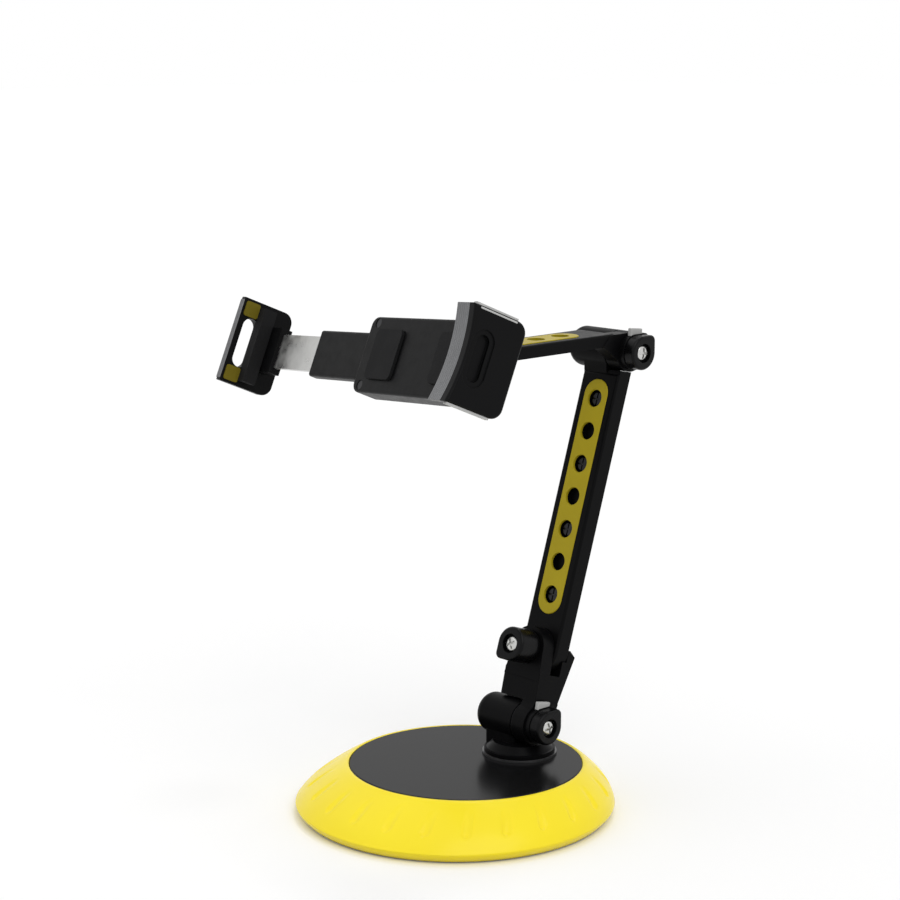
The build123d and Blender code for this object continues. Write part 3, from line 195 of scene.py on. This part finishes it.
def blend_colours(tree, factor, first, second):
    """The first colour where the factor is zero, the second where it is one."""
    node = tree.nodes.new("ShaderNodeMix")
    node.data_type = "RGBA"
    node.inputs["A"].default_value = (*first, 1)
    node.inputs["B"].default_value = (*second, 1)
    tree.links.new(factor, node.inputs["Factor"])
    return node.outputs["Result"]


def scaled(colour, factor):
    """A colour made darker or paler."""
    return tuple(min(1.0, part * factor) for part in colour)


def vary_colour(tree, shader, value, first, second):
    """Lets the base colour run between two colours with a noise."""
    blend = blend_colours(tree, spread(tree, value, 0.0, 1.0), first, second)
    tree.links.new(blend, shader.inputs["Base Color"])


def vary_roughness(tree, shader, value, low, high):
    """Lets the roughness run between two values with a noise."""
    tree.links.new(spread(tree, value, low, high), shader.inputs["Roughness"])


def raise_grain(tree, shader, height, strength, depth, softness):
    """Surface grain on edges that are rounded by the softness, in metres."""
    edge = tree.nodes.new("ShaderNodeBevel")
    edge.samples = 4
    edge.inputs["Radius"].default_value = softness
    bump = tree.nodes.new("ShaderNodeBump")
    bump.inputs["Strength"].default_value = strength
    bump.inputs["Distance"].default_value = depth
    tree.links.new(height, bump.inputs["Height"])
    tree.links.new(edge.outputs["Normal"], bump.inputs["Normal"])
    tree.links.new(bump.outputs["Normal"], shader.inputs["Normal"])


def moulded_plastic(name, colour, rough, gloss, softness=0.0004, grain=0.25, unevenness=1.0):
    """Moulded plastic: fine grain, faint flow marks and slightly uneven polish."""
    material, tree, shader, place = start_material(name)
    flow = noise(tree, place, scale=34.0, detail=4.0)
    polish = noise(tree, place, scale=210.0)
    fine = noise(tree, place, scale=2600.0, detail=2.0)
    vary_colour(tree, shader, flow,
                scaled(colour, 1 - 0.07 * unevenness), scaled(colour, 1 + 0.06 * unevenness))
    vary_roughness(tree, shader, polish, rough - 0.04 * unevenness, rough + 0.05 * unevenness)
    shader.inputs["Specular IOR Level"].default_value = gloss
    raise_grain(tree, shader, fine, strength=grain, depth=0.00004, softness=softness)
    return material


def lacquered_plate(name, colour):
    """Dark lacquer under a clear coat, with a faint orange peel that blurs what it mirrors."""
    material, tree, shader, place = start_material(name)
    cloud = noise(tree, place, scale=18.0)
    peel = noise(tree, place, scale=620.0, detail=2.0)
    vary_colour(tree, shader, cloud, scaled(colour, 0.94), scaled(colour, 1.08))
    vary_roughness(tree, shader, peel, 0.42, 0.5)
    shader.inputs["Specular IOR Level"].default_value = 0.0
    shader.inputs["Coat Weight"].default_value = 0.44
    shader.inputs["Coat Roughness"].default_value = 0.2
    raise_grain(tree, shader, peel, strength=0.12, depth=0.00003, softness=0.0003)
    return material


def bright_steel(name, colour, rough):
    """Turned and plated steel with fine tool marks and a few dull patches."""
    material, tree, shader, place = start_material(name)
    marks = noise(tree, place, scale=1500.0, detail=2.0)
    stain = noise(tree, place, scale=160.0, detail=4.0)
    vary_colour(tree, shader, stain, scaled(colour, 0.82), colour)
    vary_roughness(tree, shader, stain, rough - 0.05, rough + 0.09)
    shader.inputs["Metallic"].default_value = 1.0
    raise_grain(tree, shader, marks, strength=0.2, depth=0.00002, softness=0.0002)
    return material


def rib_wave(tree, place, across, pitch):
    """A wave that rises and falls once in each pitch across a direction."""
    lengthwise = tree.nodes.new("ShaderNodeVectorMath")
    lengthwise.operation = "DOT_PRODUCT"
    lengthwise.inputs[1].default_value = across * (2 * pi / pitch)
    tree.links.new(place, lengthwise.inputs[0])
    wave = tree.nodes.new("ShaderNodeMath")
    wave.operation = "SINE"
    tree.links.new(lengthwise.outputs["Value"], wave.inputs[0])
    return wave.outputs["Value"]


def soft_rubber(name, colour, rough=0.72, gloss=0.12, ribs=None):
    """Matt rubber with a fine pebbled skin, or with ribs where it has a direction and a pitch for them."""
    material, tree, shader, place = start_material(name)
    bloom = noise(tree, place, scale=90.0, detail=4.0)
    vary_colour(tree, shader, bloom, scaled(colour, 0.9), scaled(colour, 1.1))
    vary_roughness(tree, shader, bloom, rough - 0.05, rough + 0.06)
    shader.inputs["Specular IOR Level"].default_value = gloss
    if ribs:
        raise_grain(tree, shader, rib_wave(tree, place, *ribs), strength=0.6, depth=0.00016, softness=0.0003)
        return material
    pebble = tree.nodes.new("ShaderNodeTexVoronoi")
    pebble.inputs["Scale"].default_value = 1900.0
    tree.links.new(place, pebble.inputs["Vector"])
    raise_grain(tree, shader, pebble.outputs["Distance"], strength=0.35, depth=0.00006, softness=0.0003)
    return material


def cast_iron(name):
    """Rough cast iron under a thin dark oxide."""
    material, tree, shader, place = start_material(name)
    sand = noise(tree, place, scale=420.0, detail=6.0, roughness=0.7)
    oxide, bare = (0.045, 0.042, 0.04), (0.12, 0.11, 0.10)
    vary_colour(tree, shader, sand, oxide, bare)
    vary_roughness(tree, shader, sand, 0.55, 0.8)
    shader.inputs["Metallic"].default_value = 0.6
    raise_grain(tree, shader, sand, strength=0.6, depth=0.0003, softness=0.0004)
    return material


def wear(node, material):
    """Puts a material on a CAD node's own slots."""
    thing = frame["nodes"][node]
    if not thing.material_slots:
        thing.data.materials.append(material)
    for place in thing.material_slots:
        place.material = material


# Meshes

weld = 0.0000015            # metres within which a CAD node's corners are one
pole_weld = 0.000001        # the same for a turned shape's poles and seam
flat = radians(0.6)         # faces within this angle are one face


def add_mesh(name, shape):
    """Turns a finished bmesh into an object of the scene."""
    mesh = bpy.data.meshes.new(name)
    shape.to_mesh(mesh)
    shape.free()
    thing = bpy.data.objects.new(name, mesh)
    bpy.context.scene.collection.objects.link(thing)
    return thing


def new_piece(name, shape, body, material):
    """Turns a finished bmesh into a piece that rides on a body."""
    piece = add_mesh(name, shape)
    piece.data.materials.append(material)
    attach(piece, body)
    return piece


def smooth_by_angle(shape, limit):
    """Smooth faces with edges kept sharp past a limit."""
    for face in shape.faces:
        face.smooth = True
    for edge in shape.edges:
        edge.smooth = not (edge.is_manifold and edge.calc_face_angle(0.0) > limit)


def even_normals(piece):
    """Shading that follows the large flat faces."""
    even = piece.modifiers.new("Even normals", "WEIGHTED_NORMAL")
    even.keep_sharp = True
    even.weight = 100


def dress(node, body, material, limit=32.0):
    """A merged, smoothly shaded copy of a CAD node that stands for it."""
    shape = bmesh.new()
    shape.from_mesh(frame["nodes"][node].data)
    bmesh.ops.remove_doubles(shape, verts=shape.verts, dist=weld)
    bmesh.ops.dissolve_limit(shape, angle_limit=flat, use_dissolve_boundaries=False,
                             verts=shape.verts, edges=shape.edges, delimit=set())
    smooth_by_angle(shape, radians(limit))
    piece = new_piece(node + "_finished", shape, body, material)
    even_normals(piece)
    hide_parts(node)
    return piece


def turn_profile(shape, points, steps):
    """Spins a closed half section, as radius and height, about the local Z axis."""
    verts = [shape.verts.new((radius, 0, height)) for radius, height in points]
    edges = [shape.edges.new((verts[k - 1], verts[k])) for k in range(len(verts))]
    bmesh.ops.spin(shape, geom=verts + edges, cent=(0, 0, 0), axis=(0, 0, 1), dvec=(0, 0, 0), angle=2 * pi,
                   steps=steps, use_merge=True, use_duplicate=False)
    bmesh.ops.remove_doubles(shape, verts=shape.verts, dist=pole_weld)


def add_block(shape, low, high, edge, place=Matrix(), segments=3):
    """Adds a box with rounded edges, between two corners of a place."""
    low, high = Vector(low), Vector(high)
    made = bmesh.ops.create_cube(shape, size=1.0, matrix=Matrix.Translation((low + high) / 2)
                                 @ Matrix.Diagonal((*(high - low), 1)))
    edges = list({each for vert in made["verts"] for each in vert.link_edges})
    rounded = bmesh.ops.bevel(shape, geom=edges, offset=edge, offset_type="OFFSET", affect="EDGES",
                              segments=segments, profile=0.5, material=-1, clamp_overlap=True)
    verts = {vert for vert in made["verts"] if vert.is_valid} | set(rounded["verts"])
    bmesh.ops.transform(shape, matrix=place, verts=list(verts))


def carve(piece, cutter):
    """Cuts the cutter's shape out of a piece and removes the cutter."""
    cut = piece.modifiers.new("Cut", "BOOLEAN")
    cut.operation = "DIFFERENCE"
    cut.solver = "EXACT"
    cut.use_self = True
    cut.object = cutter
    view = bpy.context.evaluated_depsgraph_get()
    solid = bpy.data.meshes.new_from_object(piece.evaluated_get(view))
    piece.modifiers.clear()
    piece.data = solid
    bpy.data.objects.remove(cutter)


# The stand's pieces

# The skirt's section, in metres
plate_room = 0.0002         # gap round the dark plate
crest_width = 0.0012        # between that gap and the slope
rim_rise = 0.0046           # the widest circle above the foot
slope_bulge = 0.003         # how far the slope swells out at its middle
foot_rounding = ((0.0036, 0.0), (0.0022, 0.0014), (0.0009, 0.0028), (0.0002, 0.0040))   # inset and rise
foot_wall = 0.0043          # from the widest circle to the inside of the foot
slope_wall = 0.0034         # from the slope straight in to its inside
ledge_width = 0.0032        # the ledge that the dark plate lies on
ledge_height = 0.003
crest_rounding = ((0.0, 0.0002), (0.0005, 0.0))     # inset and drop
inner_drop = 0.0003         # from the crest down to the edge beside the plate
slope_rows = 48
wall_shares = (0.75, 0.5, 0.25, 0.05)   # where the inside has its rows, as shares of the slope


def skirt_profile():
    """Closed half section of the skirt, as radius and height, with the heights between which it slopes."""
    low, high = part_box("base_skirt")
    plate_low, plate_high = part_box("top_plate")
    rim = (high.x - low.x) / 2
    inner = (plate_high.x - plate_low.x) / 2 + plate_room
    crest = inner + crest_width
    ledge = inner - ledge_width
    rim_height = low.z + rim_rise

    def slope(share, wall=0.0):
        return (rim + (crest - rim) * share + slope_bulge * 4 * share * (1 - share) - wall,
                rim_height + (high.z - rim_height) * share)

    foot = [(rim - inset, low.z + rise) for inset, rise in foot_rounding]
    outside = [slope(step / slope_rows) for step in range(slope_rows)]
    crest_round = [(crest - inset, high.z - drop) for inset, drop in crest_rounding]
    crest_round.append((inner, high.z - inner_drop))
    inside = [(inner, plate_low.z), (ledge, plate_low.z), (ledge, plate_low.z - ledge_height),
              *(slope(share, slope_wall) for share in wall_shares),
              (rim - foot_wall, rim_height), (rim - foot_wall, low.z)]
    return foot + outside + crest_round + inside, rim_height, high.z


# How a dent runs, beside its settings
dent_clearance = 0.064      # metres from the base's axis within which nothing is pressed
dent_end = 0.16             # share of a dent's length that its rounded lower end takes
dent_taper = 0.3            # share of its width that it loses on the way up
end_width_power, end_depth_power = 0.5, 0.7
hollow_power, run_out_power = 0.6, 0.8
press_in, press_down = 0.72, 0.69       # direction in which it is pressed


def press_dents(shape, sizes, rim_height, top):
    """Presses the ring of shallow dents into the slope: rounded below, running out above."""
    pitch = 2 * pi / sizes.dent_count
    for vert in shape.verts:
        share = (vert.co.z - rim_height) / (top - rim_height)
        along = (share - sizes.dent_foot) / (sizes.dent_head - sizes.dent_foot)
        if not 0 < along < 1 or vert.co.xy.length < dent_clearance:
            continue
        angle = atan2(vert.co.y, vert.co.x) - sizes.dent_turn
        offset = (angle + pitch / 2) % pitch - pitch / 2
        rounding = min(1.0, along / dent_end)
        half = sizes.dent_width / 2 * rounding ** end_width_power * (1 - dent_taper * along)
        sideways = abs(offset) * vert.co.xy.length / half
        if sideways >= 1:
            continue
        across = (1 - sideways ** 2) ** hollow_power
        run_out = rounding ** end_depth_power * (1 - along) ** run_out_power
        spoke = Vector((vert.co.x, vert.co.y, 0)).normalized()
        vert.co -= (spoke * press_in + Vector((0, 0, press_down))) * sizes.dent_depth * across * run_out


def build_skirt(sizes, material):
    """The yellow skirt: a lofted slope round an off-centre plate, with its dents."""
    points, rim_height, top = skirt_profile()
    shape = bmesh.new()
    turn_profile(shape, points, sizes.skirt_steps)
    press_dents(shape, sizes, rim_height, top)
    low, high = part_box("top_plate")
    centre = (low + high) / 2
    for vert in shape.verts:
        share = min(1.0, max(0.0, (vert.co.z - rim_height) / (top - rim_height)))
        vert.co.x += centre.x * share
        vert.co.y += centre.y * share
    bmesh.ops.recalc_face_normals(shape, faces=shape.faces)
    smooth_by_angle(shape, limit=radians(50))
    piece = new_piece("skirt_shell", shape, "base", material)
    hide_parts("base_skirt")


class STAND_OT_base(Operator):
    """Finish the skirt, plate, cover, pad and screws of the base"""

    bl_idname = "stand.base"
    bl_label = "Base"

    def execute(self, context):
        finishes = context.scene.stand_finishes
        shell = moulded_plastic("Yellow shell", finishes.shell_yellow, rough=0.26, gloss=0.22, grain=0.1,
                                unevenness=0.25)
        build_skirt(context.scene.stand_shapes, shell)
        dress("top_plate", "base", lacquered_plate("Dark lacquer", finishes.plate_grey))
        wear("base_weight", cast_iron("Cast weight"))
        wear("bottom_cover", moulded_plastic("Black cover", scaled(finishes.body_black, 2.0), rough=0.55,
                                             gloss=0.2))
        wear("base_screws", bright_steel("Cover screws", finishes.steel, rough=0.3))
        wear("foot_pad", soft_rubber("Black foot pad", (0.012, 0.012, 0.0125)))
        dress("swivel_washer", "base", bright_steel("Swivel washer", (0.10, 0.10, 0.102), rough=0.34))
        wear("wave_washer", bright_steel("Spring washer", finishes.steel, rough=0.3))
        return {"FINISHED"}


def raise_shoulder(piece, sizes):
    """Carries the lower bar's end face up towards the upper hinge's knuckle, its back edge farthest."""
    forward = Vector(joints["arm_swing"]["axis"])
    along = forward.cross(Vector((1, 0, 0))).normalized()
    if along.z < 0:
        along.negate()
    hinge = Vector(joints["upper_tilt"]["pos_m"])
    tolerance = 0.0001
    for vert in piece.data.vertices:
        place = vert.co - hinge
        if abs(place.dot(along) + sizes.bar_gap) < tolerance:
            vert.co += along * (sizes.bar_rise + (sizes.bar_slant if place.dot(forward) < 0 else 0))


class STAND_OT_mouldings(Operator):
    """Finish the black mouldings of the foot, the fork, the arms and the ball joint"""

    bl_idname = "stand.mouldings"
    bl_label = "Black mouldings"

    def execute(self, context):
        black = context.scene.stand_finishes.body_black
        body = moulded_plastic("Black moulding", black, rough=0.38, gloss=0.055)
        dress("foot", "swivel_foot", body)
        dress("lower_fork", "fork", body)
        raise_shoulder(dress("lower_arm", "main_arm", body), context.scene.stand_shapes)
        dress("upper_arm", "reach_arm", body)
        dress("socket_collar", "collar", body)
        wear("ball_seat", moulded_plastic("Pale seat", (0.6, 0.6, 0.58), rough=0.4, gloss=0.4))
        return {"FINISHED"}


# The domed screw heads, in metres
head_height = 0.0022
cross_top = 0.0027          # the cutter's ends, above and below the crown
cross_foot = 0.0015
cross_taper = 0.7           # the cross's size at its foot, as a share
dome_steps = 8
bolt_steps = 40


def cross_cutter(place, crown, sizes, turn):
    """Two crossed wedges that cut the recess of a screw head."""
    cross = bmesh.new()
    for quarter in (0, pi / 2):
        bar = bmesh.ops.create_cube(cross, size=1.0, matrix=Matrix.Rotation(turn + quarter, 4, "Z")
                                    @ Matrix.Translation((0, 0, crown + (cross_top - cross_foot) / 2))
                                    @ Matrix.Diagonal((sizes.cross_length, sizes.cross_width,
                                                       cross_top + cross_foot, 1)))
        foot = [vert for vert in bar["verts"] if vert.co.z < crown]
        bmesh.ops.scale(cross, vec=(cross_taper, cross_taper, 1), verts=foot)
    bmesh.ops.transform(cross, matrix=place, verts=cross.verts)
    return add_mesh("cross", cross)


def build_bolt(node, body, joint, material, sizes, turn):
    """A bolt with a domed head and a cross recess, as long and wide as the CAD one on a joint's axis."""
    axis = Vector(joints[joint]["axis"]).normalized()
    hinge = Vector(joints[joint]["pos_m"])
    places = [vert.co - hinge for vert in frame["nodes"][node].data.vertices]
    reach = [place.dot(axis) for place in places]
    spans = [(place - axis * place.dot(axis)).length for place in places]
    end, crown, head = min(reach), max(reach), max(spans)
    shank = min(span for span in spans if span > head / 3)
    seat = crown - head_height
    dome = []
    for step in range(dome_steps):
        angle = step * pi / (2 * dome_steps)
        rise = sizes.head_edge + (head_height - sizes.head_edge) * sin(angle)
        dome.append((head * cos(angle), seat + rise))
    shape = bmesh.new()
    turn_profile(shape, [(0, end), (shank, end), (shank, seat), (head, seat), *dome, (0, crown)], bolt_steps)
    stand_up = Matrix.Translation(hinge) @ axis.to_track_quat("Z", "Y").to_matrix().to_4x4()
    bmesh.ops.transform(shape, matrix=stand_up, verts=shape.verts)
    bmesh.ops.recalc_face_normals(shape, faces=shape.faces)
    piece = new_piece(node + "_finished", shape, body, material)
    carve(piece, cross_cutter(stand_up, crown, sizes, turn))
    carved = bmesh.new()
    carved.from_mesh(piece.data)
    smooth_by_angle(carved, limit=radians(28))
    carved.to_mesh(piece.data)
    carved.free()
    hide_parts(node)


def build_highlight_tab(prefix, body, joint, material, sizes, lean):
    """The pale squared piece that stands on a hinge's collar, beside the cap: a painted highlight where the
    collar's top catches the light.
    """
    hinge = Vector(joints[joint]["pos_m"])
    low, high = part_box(prefix + "_hinge_collar")
    half, inset, sunk, edge = sizes.tab_width / 2, 0.00015, 0.0016, 0.0006
    shape = bmesh.new()
    add_block(shape, (low.x + inset, hinge.y - half, high.z - sunk),
              (high.x - inset, hinge.y + half, hinge.z + sizes.highlight_tab_top), edge)
    bmesh.ops.rotate(shape, cent=hinge, matrix=Matrix.Rotation(-lean, 3, "X"), verts=shape.verts)
    smooth_by_angle(shape, limit=radians(40))
    even_normals(new_piece(prefix + "_collar_highlight_tab", shape, body, material))


# Prefix, body that holds the pin, joint, turn of the screw's cross and lean of the pale piece on the collar,
# a painted highlight
tilt_hinges = (("lower", "swivel_foot", "lower_tilt", radians(12), radians(12)),
               ("upper", "main_arm", "upper_tilt", radians(-8), radians(6)))


class STAND_OT_hinges(Operator):
    """Finish the bolts, nuts, washers, collars and end caps of the hinges"""

    bl_idname = "stand.hinges"
    bl_label = "Hinge hardware"

    def execute(self, context):
        finishes = context.scene.stand_finishes
        sizes = context.scene.stand_shapes
        steel = bright_steel("Plated bolts", finishes.steel, rough=0.2)
        collar = moulded_plastic("Hinge collars", finishes.body_black, rough=0.4, gloss=0.09)
        cap = moulded_plastic("Hinge caps", finishes.body_black, rough=0.28, gloss=0.12)
        washer = moulded_plastic("Friction washers", (0.02, 0.02, 0.021), rough=0.5, gloss=0.1)
        # Pale grey pieces on the collars: a painted highlight where the light falls on the collars' tops
        highlight_tab = moulded_plastic("Painted highlight tabs", scaled(finishes.trim_grey, 0.85), rough=0.45, gloss=0.3,
                              softness=0.0002)
        for prefix, holder, joint, turn, lean in tilt_hinges:
            build_bolt(prefix + "_hinge_bolt", holder, joint, steel, sizes, turn)
            build_highlight_tab(prefix, holder, joint, highlight_tab, sizes, lean)
            dress(prefix + "_hinge_collar", holder, collar)
            dress(prefix + "_hinge_cap", holder, cap)
            wear(prefix + "_hinge_nut", steel)
            wear(prefix + "_friction_washer", washer)
        build_bolt("pivot_bolt", "fork", "arm_swing", steel, sizes, turn=radians(30))
        dress("pivot_collar", "fork", collar)
        dress("pivot_cap", "fork", cap)
        dress("pivot_nut", "fork", steel)
        wear("foot_bolt", steel)
        dress("ball_stud", "reach_arm", steel)
        return {"FINISHED"}


class STAND_OT_strips(Operator):
    """Finish the yellow strips on the arms and the screws in their holes"""

    bl_idname = "stand.strips"
    bl_label = "Arm strips"

    def execute(self, context):
        finishes = context.scene.stand_finishes
        # The strips' mustard is their yellow darkened with painted shade
        strip_with_painted_shade = moulded_plastic("Yellow strip", finishes.strip_yellow_painted_shade, rough=0.4, gloss=0.14, softness=0.0003)
        screw = bright_steel("Dark screws", finishes.dark_steel, rough=0.26)
        dress("lower_arm_strip", "main_arm", strip_with_painted_shade)
        dress("upper_arm_strip", "reach_arm", strip_with_painted_shade)
        dress("lower_strip_screws", "main_arm", screw)
        dress("upper_strip_screws", "reach_arm", screw)
        return {"FINISHED"}


def clamp_extent(node):
    """Lowest and highest corner of a node in the clamp's own directions, in metres from the ball."""
    places = [clamp_frame.inverted() @ vert.co for vert in frame["nodes"][node].data.vertices]
    return [Vector(limit(place[k] for place in places) for k in range(3)) for limit in (min, max)]


def build_jaw_rib(material, sizes):
    """Pale rib on the fixed jaw's rounded outer edge, beside the trim on its upper end."""
    jaw_high = clamp_extent("right_jaw")[1]
    trim_low, trim_high = clamp_extent("right_jaw_trim")
    sunk, proud, rear, front, below, edge = 0.0009, 0.0002, 0.0008, 0.002, 0.0007, 0.0003
    top = jaw_high.y - below
    shape = bmesh.new()
    add_block(shape, (jaw_high.x - sunk, top - sizes.rib_width, trim_low.z + rear),
              (jaw_high.x + proud, top, trim_high.z - front), edge, clamp_frame)
    smooth_by_angle(shape, limit=radians(40))
    even_normals(new_piece("right_jaw_rib", shape, "clamp", material))


def build_front_band(material):
    """Ribbed band on the moving jaw's front edge."""
    low, high = clamp_extent("left_jaw")
    wall_inside = clamp_extent("yellow_pads")[0].x
    outer_room, inner_room = 0.0006, 0.0001
    left, right = low.x + outer_room, wall_inside - inner_room
    band_end, band_sunk, band_proud, band_edge = 0.0012, 0.0007, 0.00008, 0.0002
    rib_end, rib_sunk, rib_proud, rib_edge = 0.0014, 0.0002, 0.0004, 0.00025
    ribs, rib_share = 4, 0.3
    shape = bmesh.new()
    add_block(shape, (left, low.y + band_end, high.z - band_sunk),
              (right, high.y - band_end, high.z + band_proud), band_edge, clamp_frame, segments=1)
    pitch = (right - left) / ribs
    for rib in range(ribs):
        middle = left + (rib + 0.5) * pitch
        add_block(shape, (middle - pitch * rib_share, low.y + rib_end, high.z - rib_sunk),
                  (middle + pitch * rib_share, high.y - rib_end, high.z + rib_proud), rib_edge, clamp_frame,
                  segments=2)
    smooth_by_angle(shape, limit=radians(40))
    even_normals(new_piece("left_jaw_band", shape, "moving_jaw", material))


class STAND_OT_clamp(Operator):
    """Finish the clamp's housing, slider, tongue and jaws"""

    bl_idname = "stand.clamp"
    bl_label = "Clamp"

    def execute(self, context):
        finishes = context.scene.stand_finishes
        body = moulded_plastic("Clamp moulding", finishes.body_black, rough=0.4, gloss=0.09)
        rubber = soft_rubber("Black rubber", (0.009, 0.009, 0.0095))
        trim = soft_rubber("Ribbed trim", finishes.trim_grey, rough=0.5, gloss=0.3)
        for node in ("housing_rear", "housing_cover", "right_jaw"):
            dress(node, "clamp", body)
        dress("slider", "extension", body)
        dress("left_jaw", "moving_jaw", body)
        dress("tongue", "moving_jaw", bright_steel("Tongue steel", finishes.steel, rough=0.3))
        dress("housing_screws", "clamp", bright_steel("Housing screws", finishes.dark_steel, rough=0.3))
        dress("back_pads", "clamp", rubber)
        dress("right_jaw_pad", "clamp", rubber)
        dress("left_jaw_pad", "moving_jaw", rubber)
        grip = soft_rubber("Grey grip", finishes.grip_grey, rough=0.42, gloss=0.3, ribs=(clamp_right, 0.0016))
        dress("right_grip", "clamp", grip)
        pads = soft_rubber("Yellow pads", finishes.pad_yellow, rough=0.6)
        dress("yellow_pads", "moving_jaw", pads)
        dress("right_jaw_trim", "clamp", trim)
        build_jaw_rib(trim, context.scene.stand_shapes)
        build_front_band(soft_rubber("Front band", finishes.band_grey, rough=0.5, gloss=0.25))
        return {"FINISHED"}


# Studio

def lamp(name, heading, strength, spread_angle):
    """A distant soft lamp that shines along a heading."""
    light = bpy.data.lights.new(name, "SUN")
    light.energy = strength
    light.angle = spread_angle
    holder = bpy.data.objects.new(name, light)
    holder.rotation_euler = Vector(heading).to_track_quat("-Z", "Y").to_euler()
    bpy.context.scene.collection.objects.link(holder)


def open_rays(tree):
    """One on rays from the camera, a reflection or clear material, zero on the light that falls on things."""
    path = tree.nodes.new("ShaderNodeLightPath")
    value = path.outputs["Is Camera Ray"]
    for ray in ("Is Glossy Ray", "Is Transmission Ray"):
        either = tree.nodes.new("ShaderNodeMath")
        either.operation = "MAXIMUM"
        tree.links.new(value, either.inputs[0])
        tree.links.new(path.outputs[ray], either.inputs[1])
        value = either.outputs["Value"]
    return value


class STAND_OT_studio(Operator):
    """Set up the floor, the lamps, the sky and the camera"""

    bl_idname = "stand.studio"
    bl_label = "Studio"

    def execute(self, context):
        studio = context.scene.stand_studio
        camera = bpy.data.objects.new("Camera", bpy.data.cameras.new("Camera"))
        camera.location = studio.camera_place
        camera.rotation_euler = Vector(studio.camera_heading).to_track_quat("-Z", "Y").to_euler()
        camera.data.sensor_width = 36.0
        camera.data.lens = studio.camera_lens
        camera.data.clip_end = 60.0
        context.scene.collection.objects.link(camera)
        context.scene.camera = camera
        self.make_floor(studio)
        self.make_sky(context, studio)
        lamp("Key", (-0.62, 0.22, -0.75), studio.key, radians(46))
        lamp("Fill", (0.25, 0.20, -0.95), studio.fill, radians(70))
        lamp("Back", (0.20, -0.36, -0.91), studio.back, radians(12))
        return {"FINISHED"}

    def make_floor(self, studio):
        """A wide floor that is white to the camera and duller to the light that it throws back."""
        shape = bmesh.new()
        bmesh.ops.create_grid(shape, x_segments=1, y_segments=1, size=15.0)
        floor = add_mesh("Floor", shape)
        material, tree, shader, _ = start_material("Pale floor")
        dull = (0.75, 0.75, 0.75)
        seen = open_rays(tree)
        lift = tree.nodes.new("ShaderNodeMath")
        lift.operation = "MULTIPLY"
        lift.inputs[1].default_value = studio.floor_lift
        tree.links.new(seen, lift.inputs[0])
        tree.links.new(blend_colours(tree, seen, dull, studio.floor), shader.inputs["Base Color"])
        tree.links.new(lift.outputs["Value"], shader.inputs["Emission Strength"])
        shader.inputs["Emission Color"].default_value = (1, 1, 1, 1)
        shader.inputs["Roughness"].default_value = 0.9
        shader.inputs["Specular IOR Level"].default_value = 0.0
        floor.data.materials.append(material)

    def make_sky(self, context, studio):
        """A sky that is white to the camera and gives its own even light."""
        world = bpy.data.worlds.new("Sky")
        world.use_nodes = True
        context.scene.world = world
        tree = world.node_tree
        tree.nodes.clear()
        output = tree.nodes.new("ShaderNodeOutputWorld")
        seen = tree.nodes.new("ShaderNodeBackground")
        lit = tree.nodes.new("ShaderNodeBackground")
        choice = tree.nodes.new("ShaderNodeMixShader")
        tree.links.new(open_rays(tree), choice.inputs["Fac"])
        tree.links.new(lit.outputs["Background"], choice.inputs[1])
        tree.links.new(seen.outputs["Background"], choice.inputs[2])
        tree.links.new(choice.outputs["Shader"], output.inputs["Surface"])
        lit.inputs["Strength"].default_value = studio.sky
        for background in (seen, lit):
            background.inputs["Color"].default_value = (1, 1, 1, 1)


class STAND_PT_panel(Panel):
    """Steps that finish the stand, and their settings"""

    bl_idname = "STAND_PT_panel"
    bl_label = "Tablet stand"
    bl_space_type = "VIEW_3D"
    bl_region_type = "UI"
    bl_category = "Stand"

    def draw(self, context):
        for step in steps:
            self.layout.operator(step.bl_idname)
        for group in (context.scene.stand_shapes, context.scene.stand_finishes, context.scene.stand_studio):
            box = self.layout.box()
            for name in group.__annotations__:
                box.prop(group, name)


steps = (STAND_OT_studio, STAND_OT_base, STAND_OT_mouldings, STAND_OT_hinges, STAND_OT_strips, STAND_OT_clamp)
classes = (StandShapes, StandFinishes, StandStudio, *steps, STAND_PT_panel)


def register():
    for each in classes:
        bpy.utils.register_class(each)
    bpy.types.Scene.stand_shapes = PointerProperty(type=StandShapes)
    bpy.types.Scene.stand_finishes = PointerProperty(type=StandFinishes)
    bpy.types.Scene.stand_studio = PointerProperty(type=StandStudio)


def unregister():
    del bpy.types.Scene.stand_studio
    del bpy.types.Scene.stand_finishes
    del bpy.types.Scene.stand_shapes
    for each in reversed(classes):
        bpy.utils.unregister_class(each)


def main():
    register()
    bpy.context.scene.view_settings.view_transform = "Standard"
    bpy.ops.stand.studio()
    bpy.ops.stand.base()
    bpy.ops.stand.mouldings()
    bpy.ops.stand.hinges()
    bpy.ops.stand.strips()
    bpy.ops.stand.clamp()


if __name__ == "__main__":
    main()
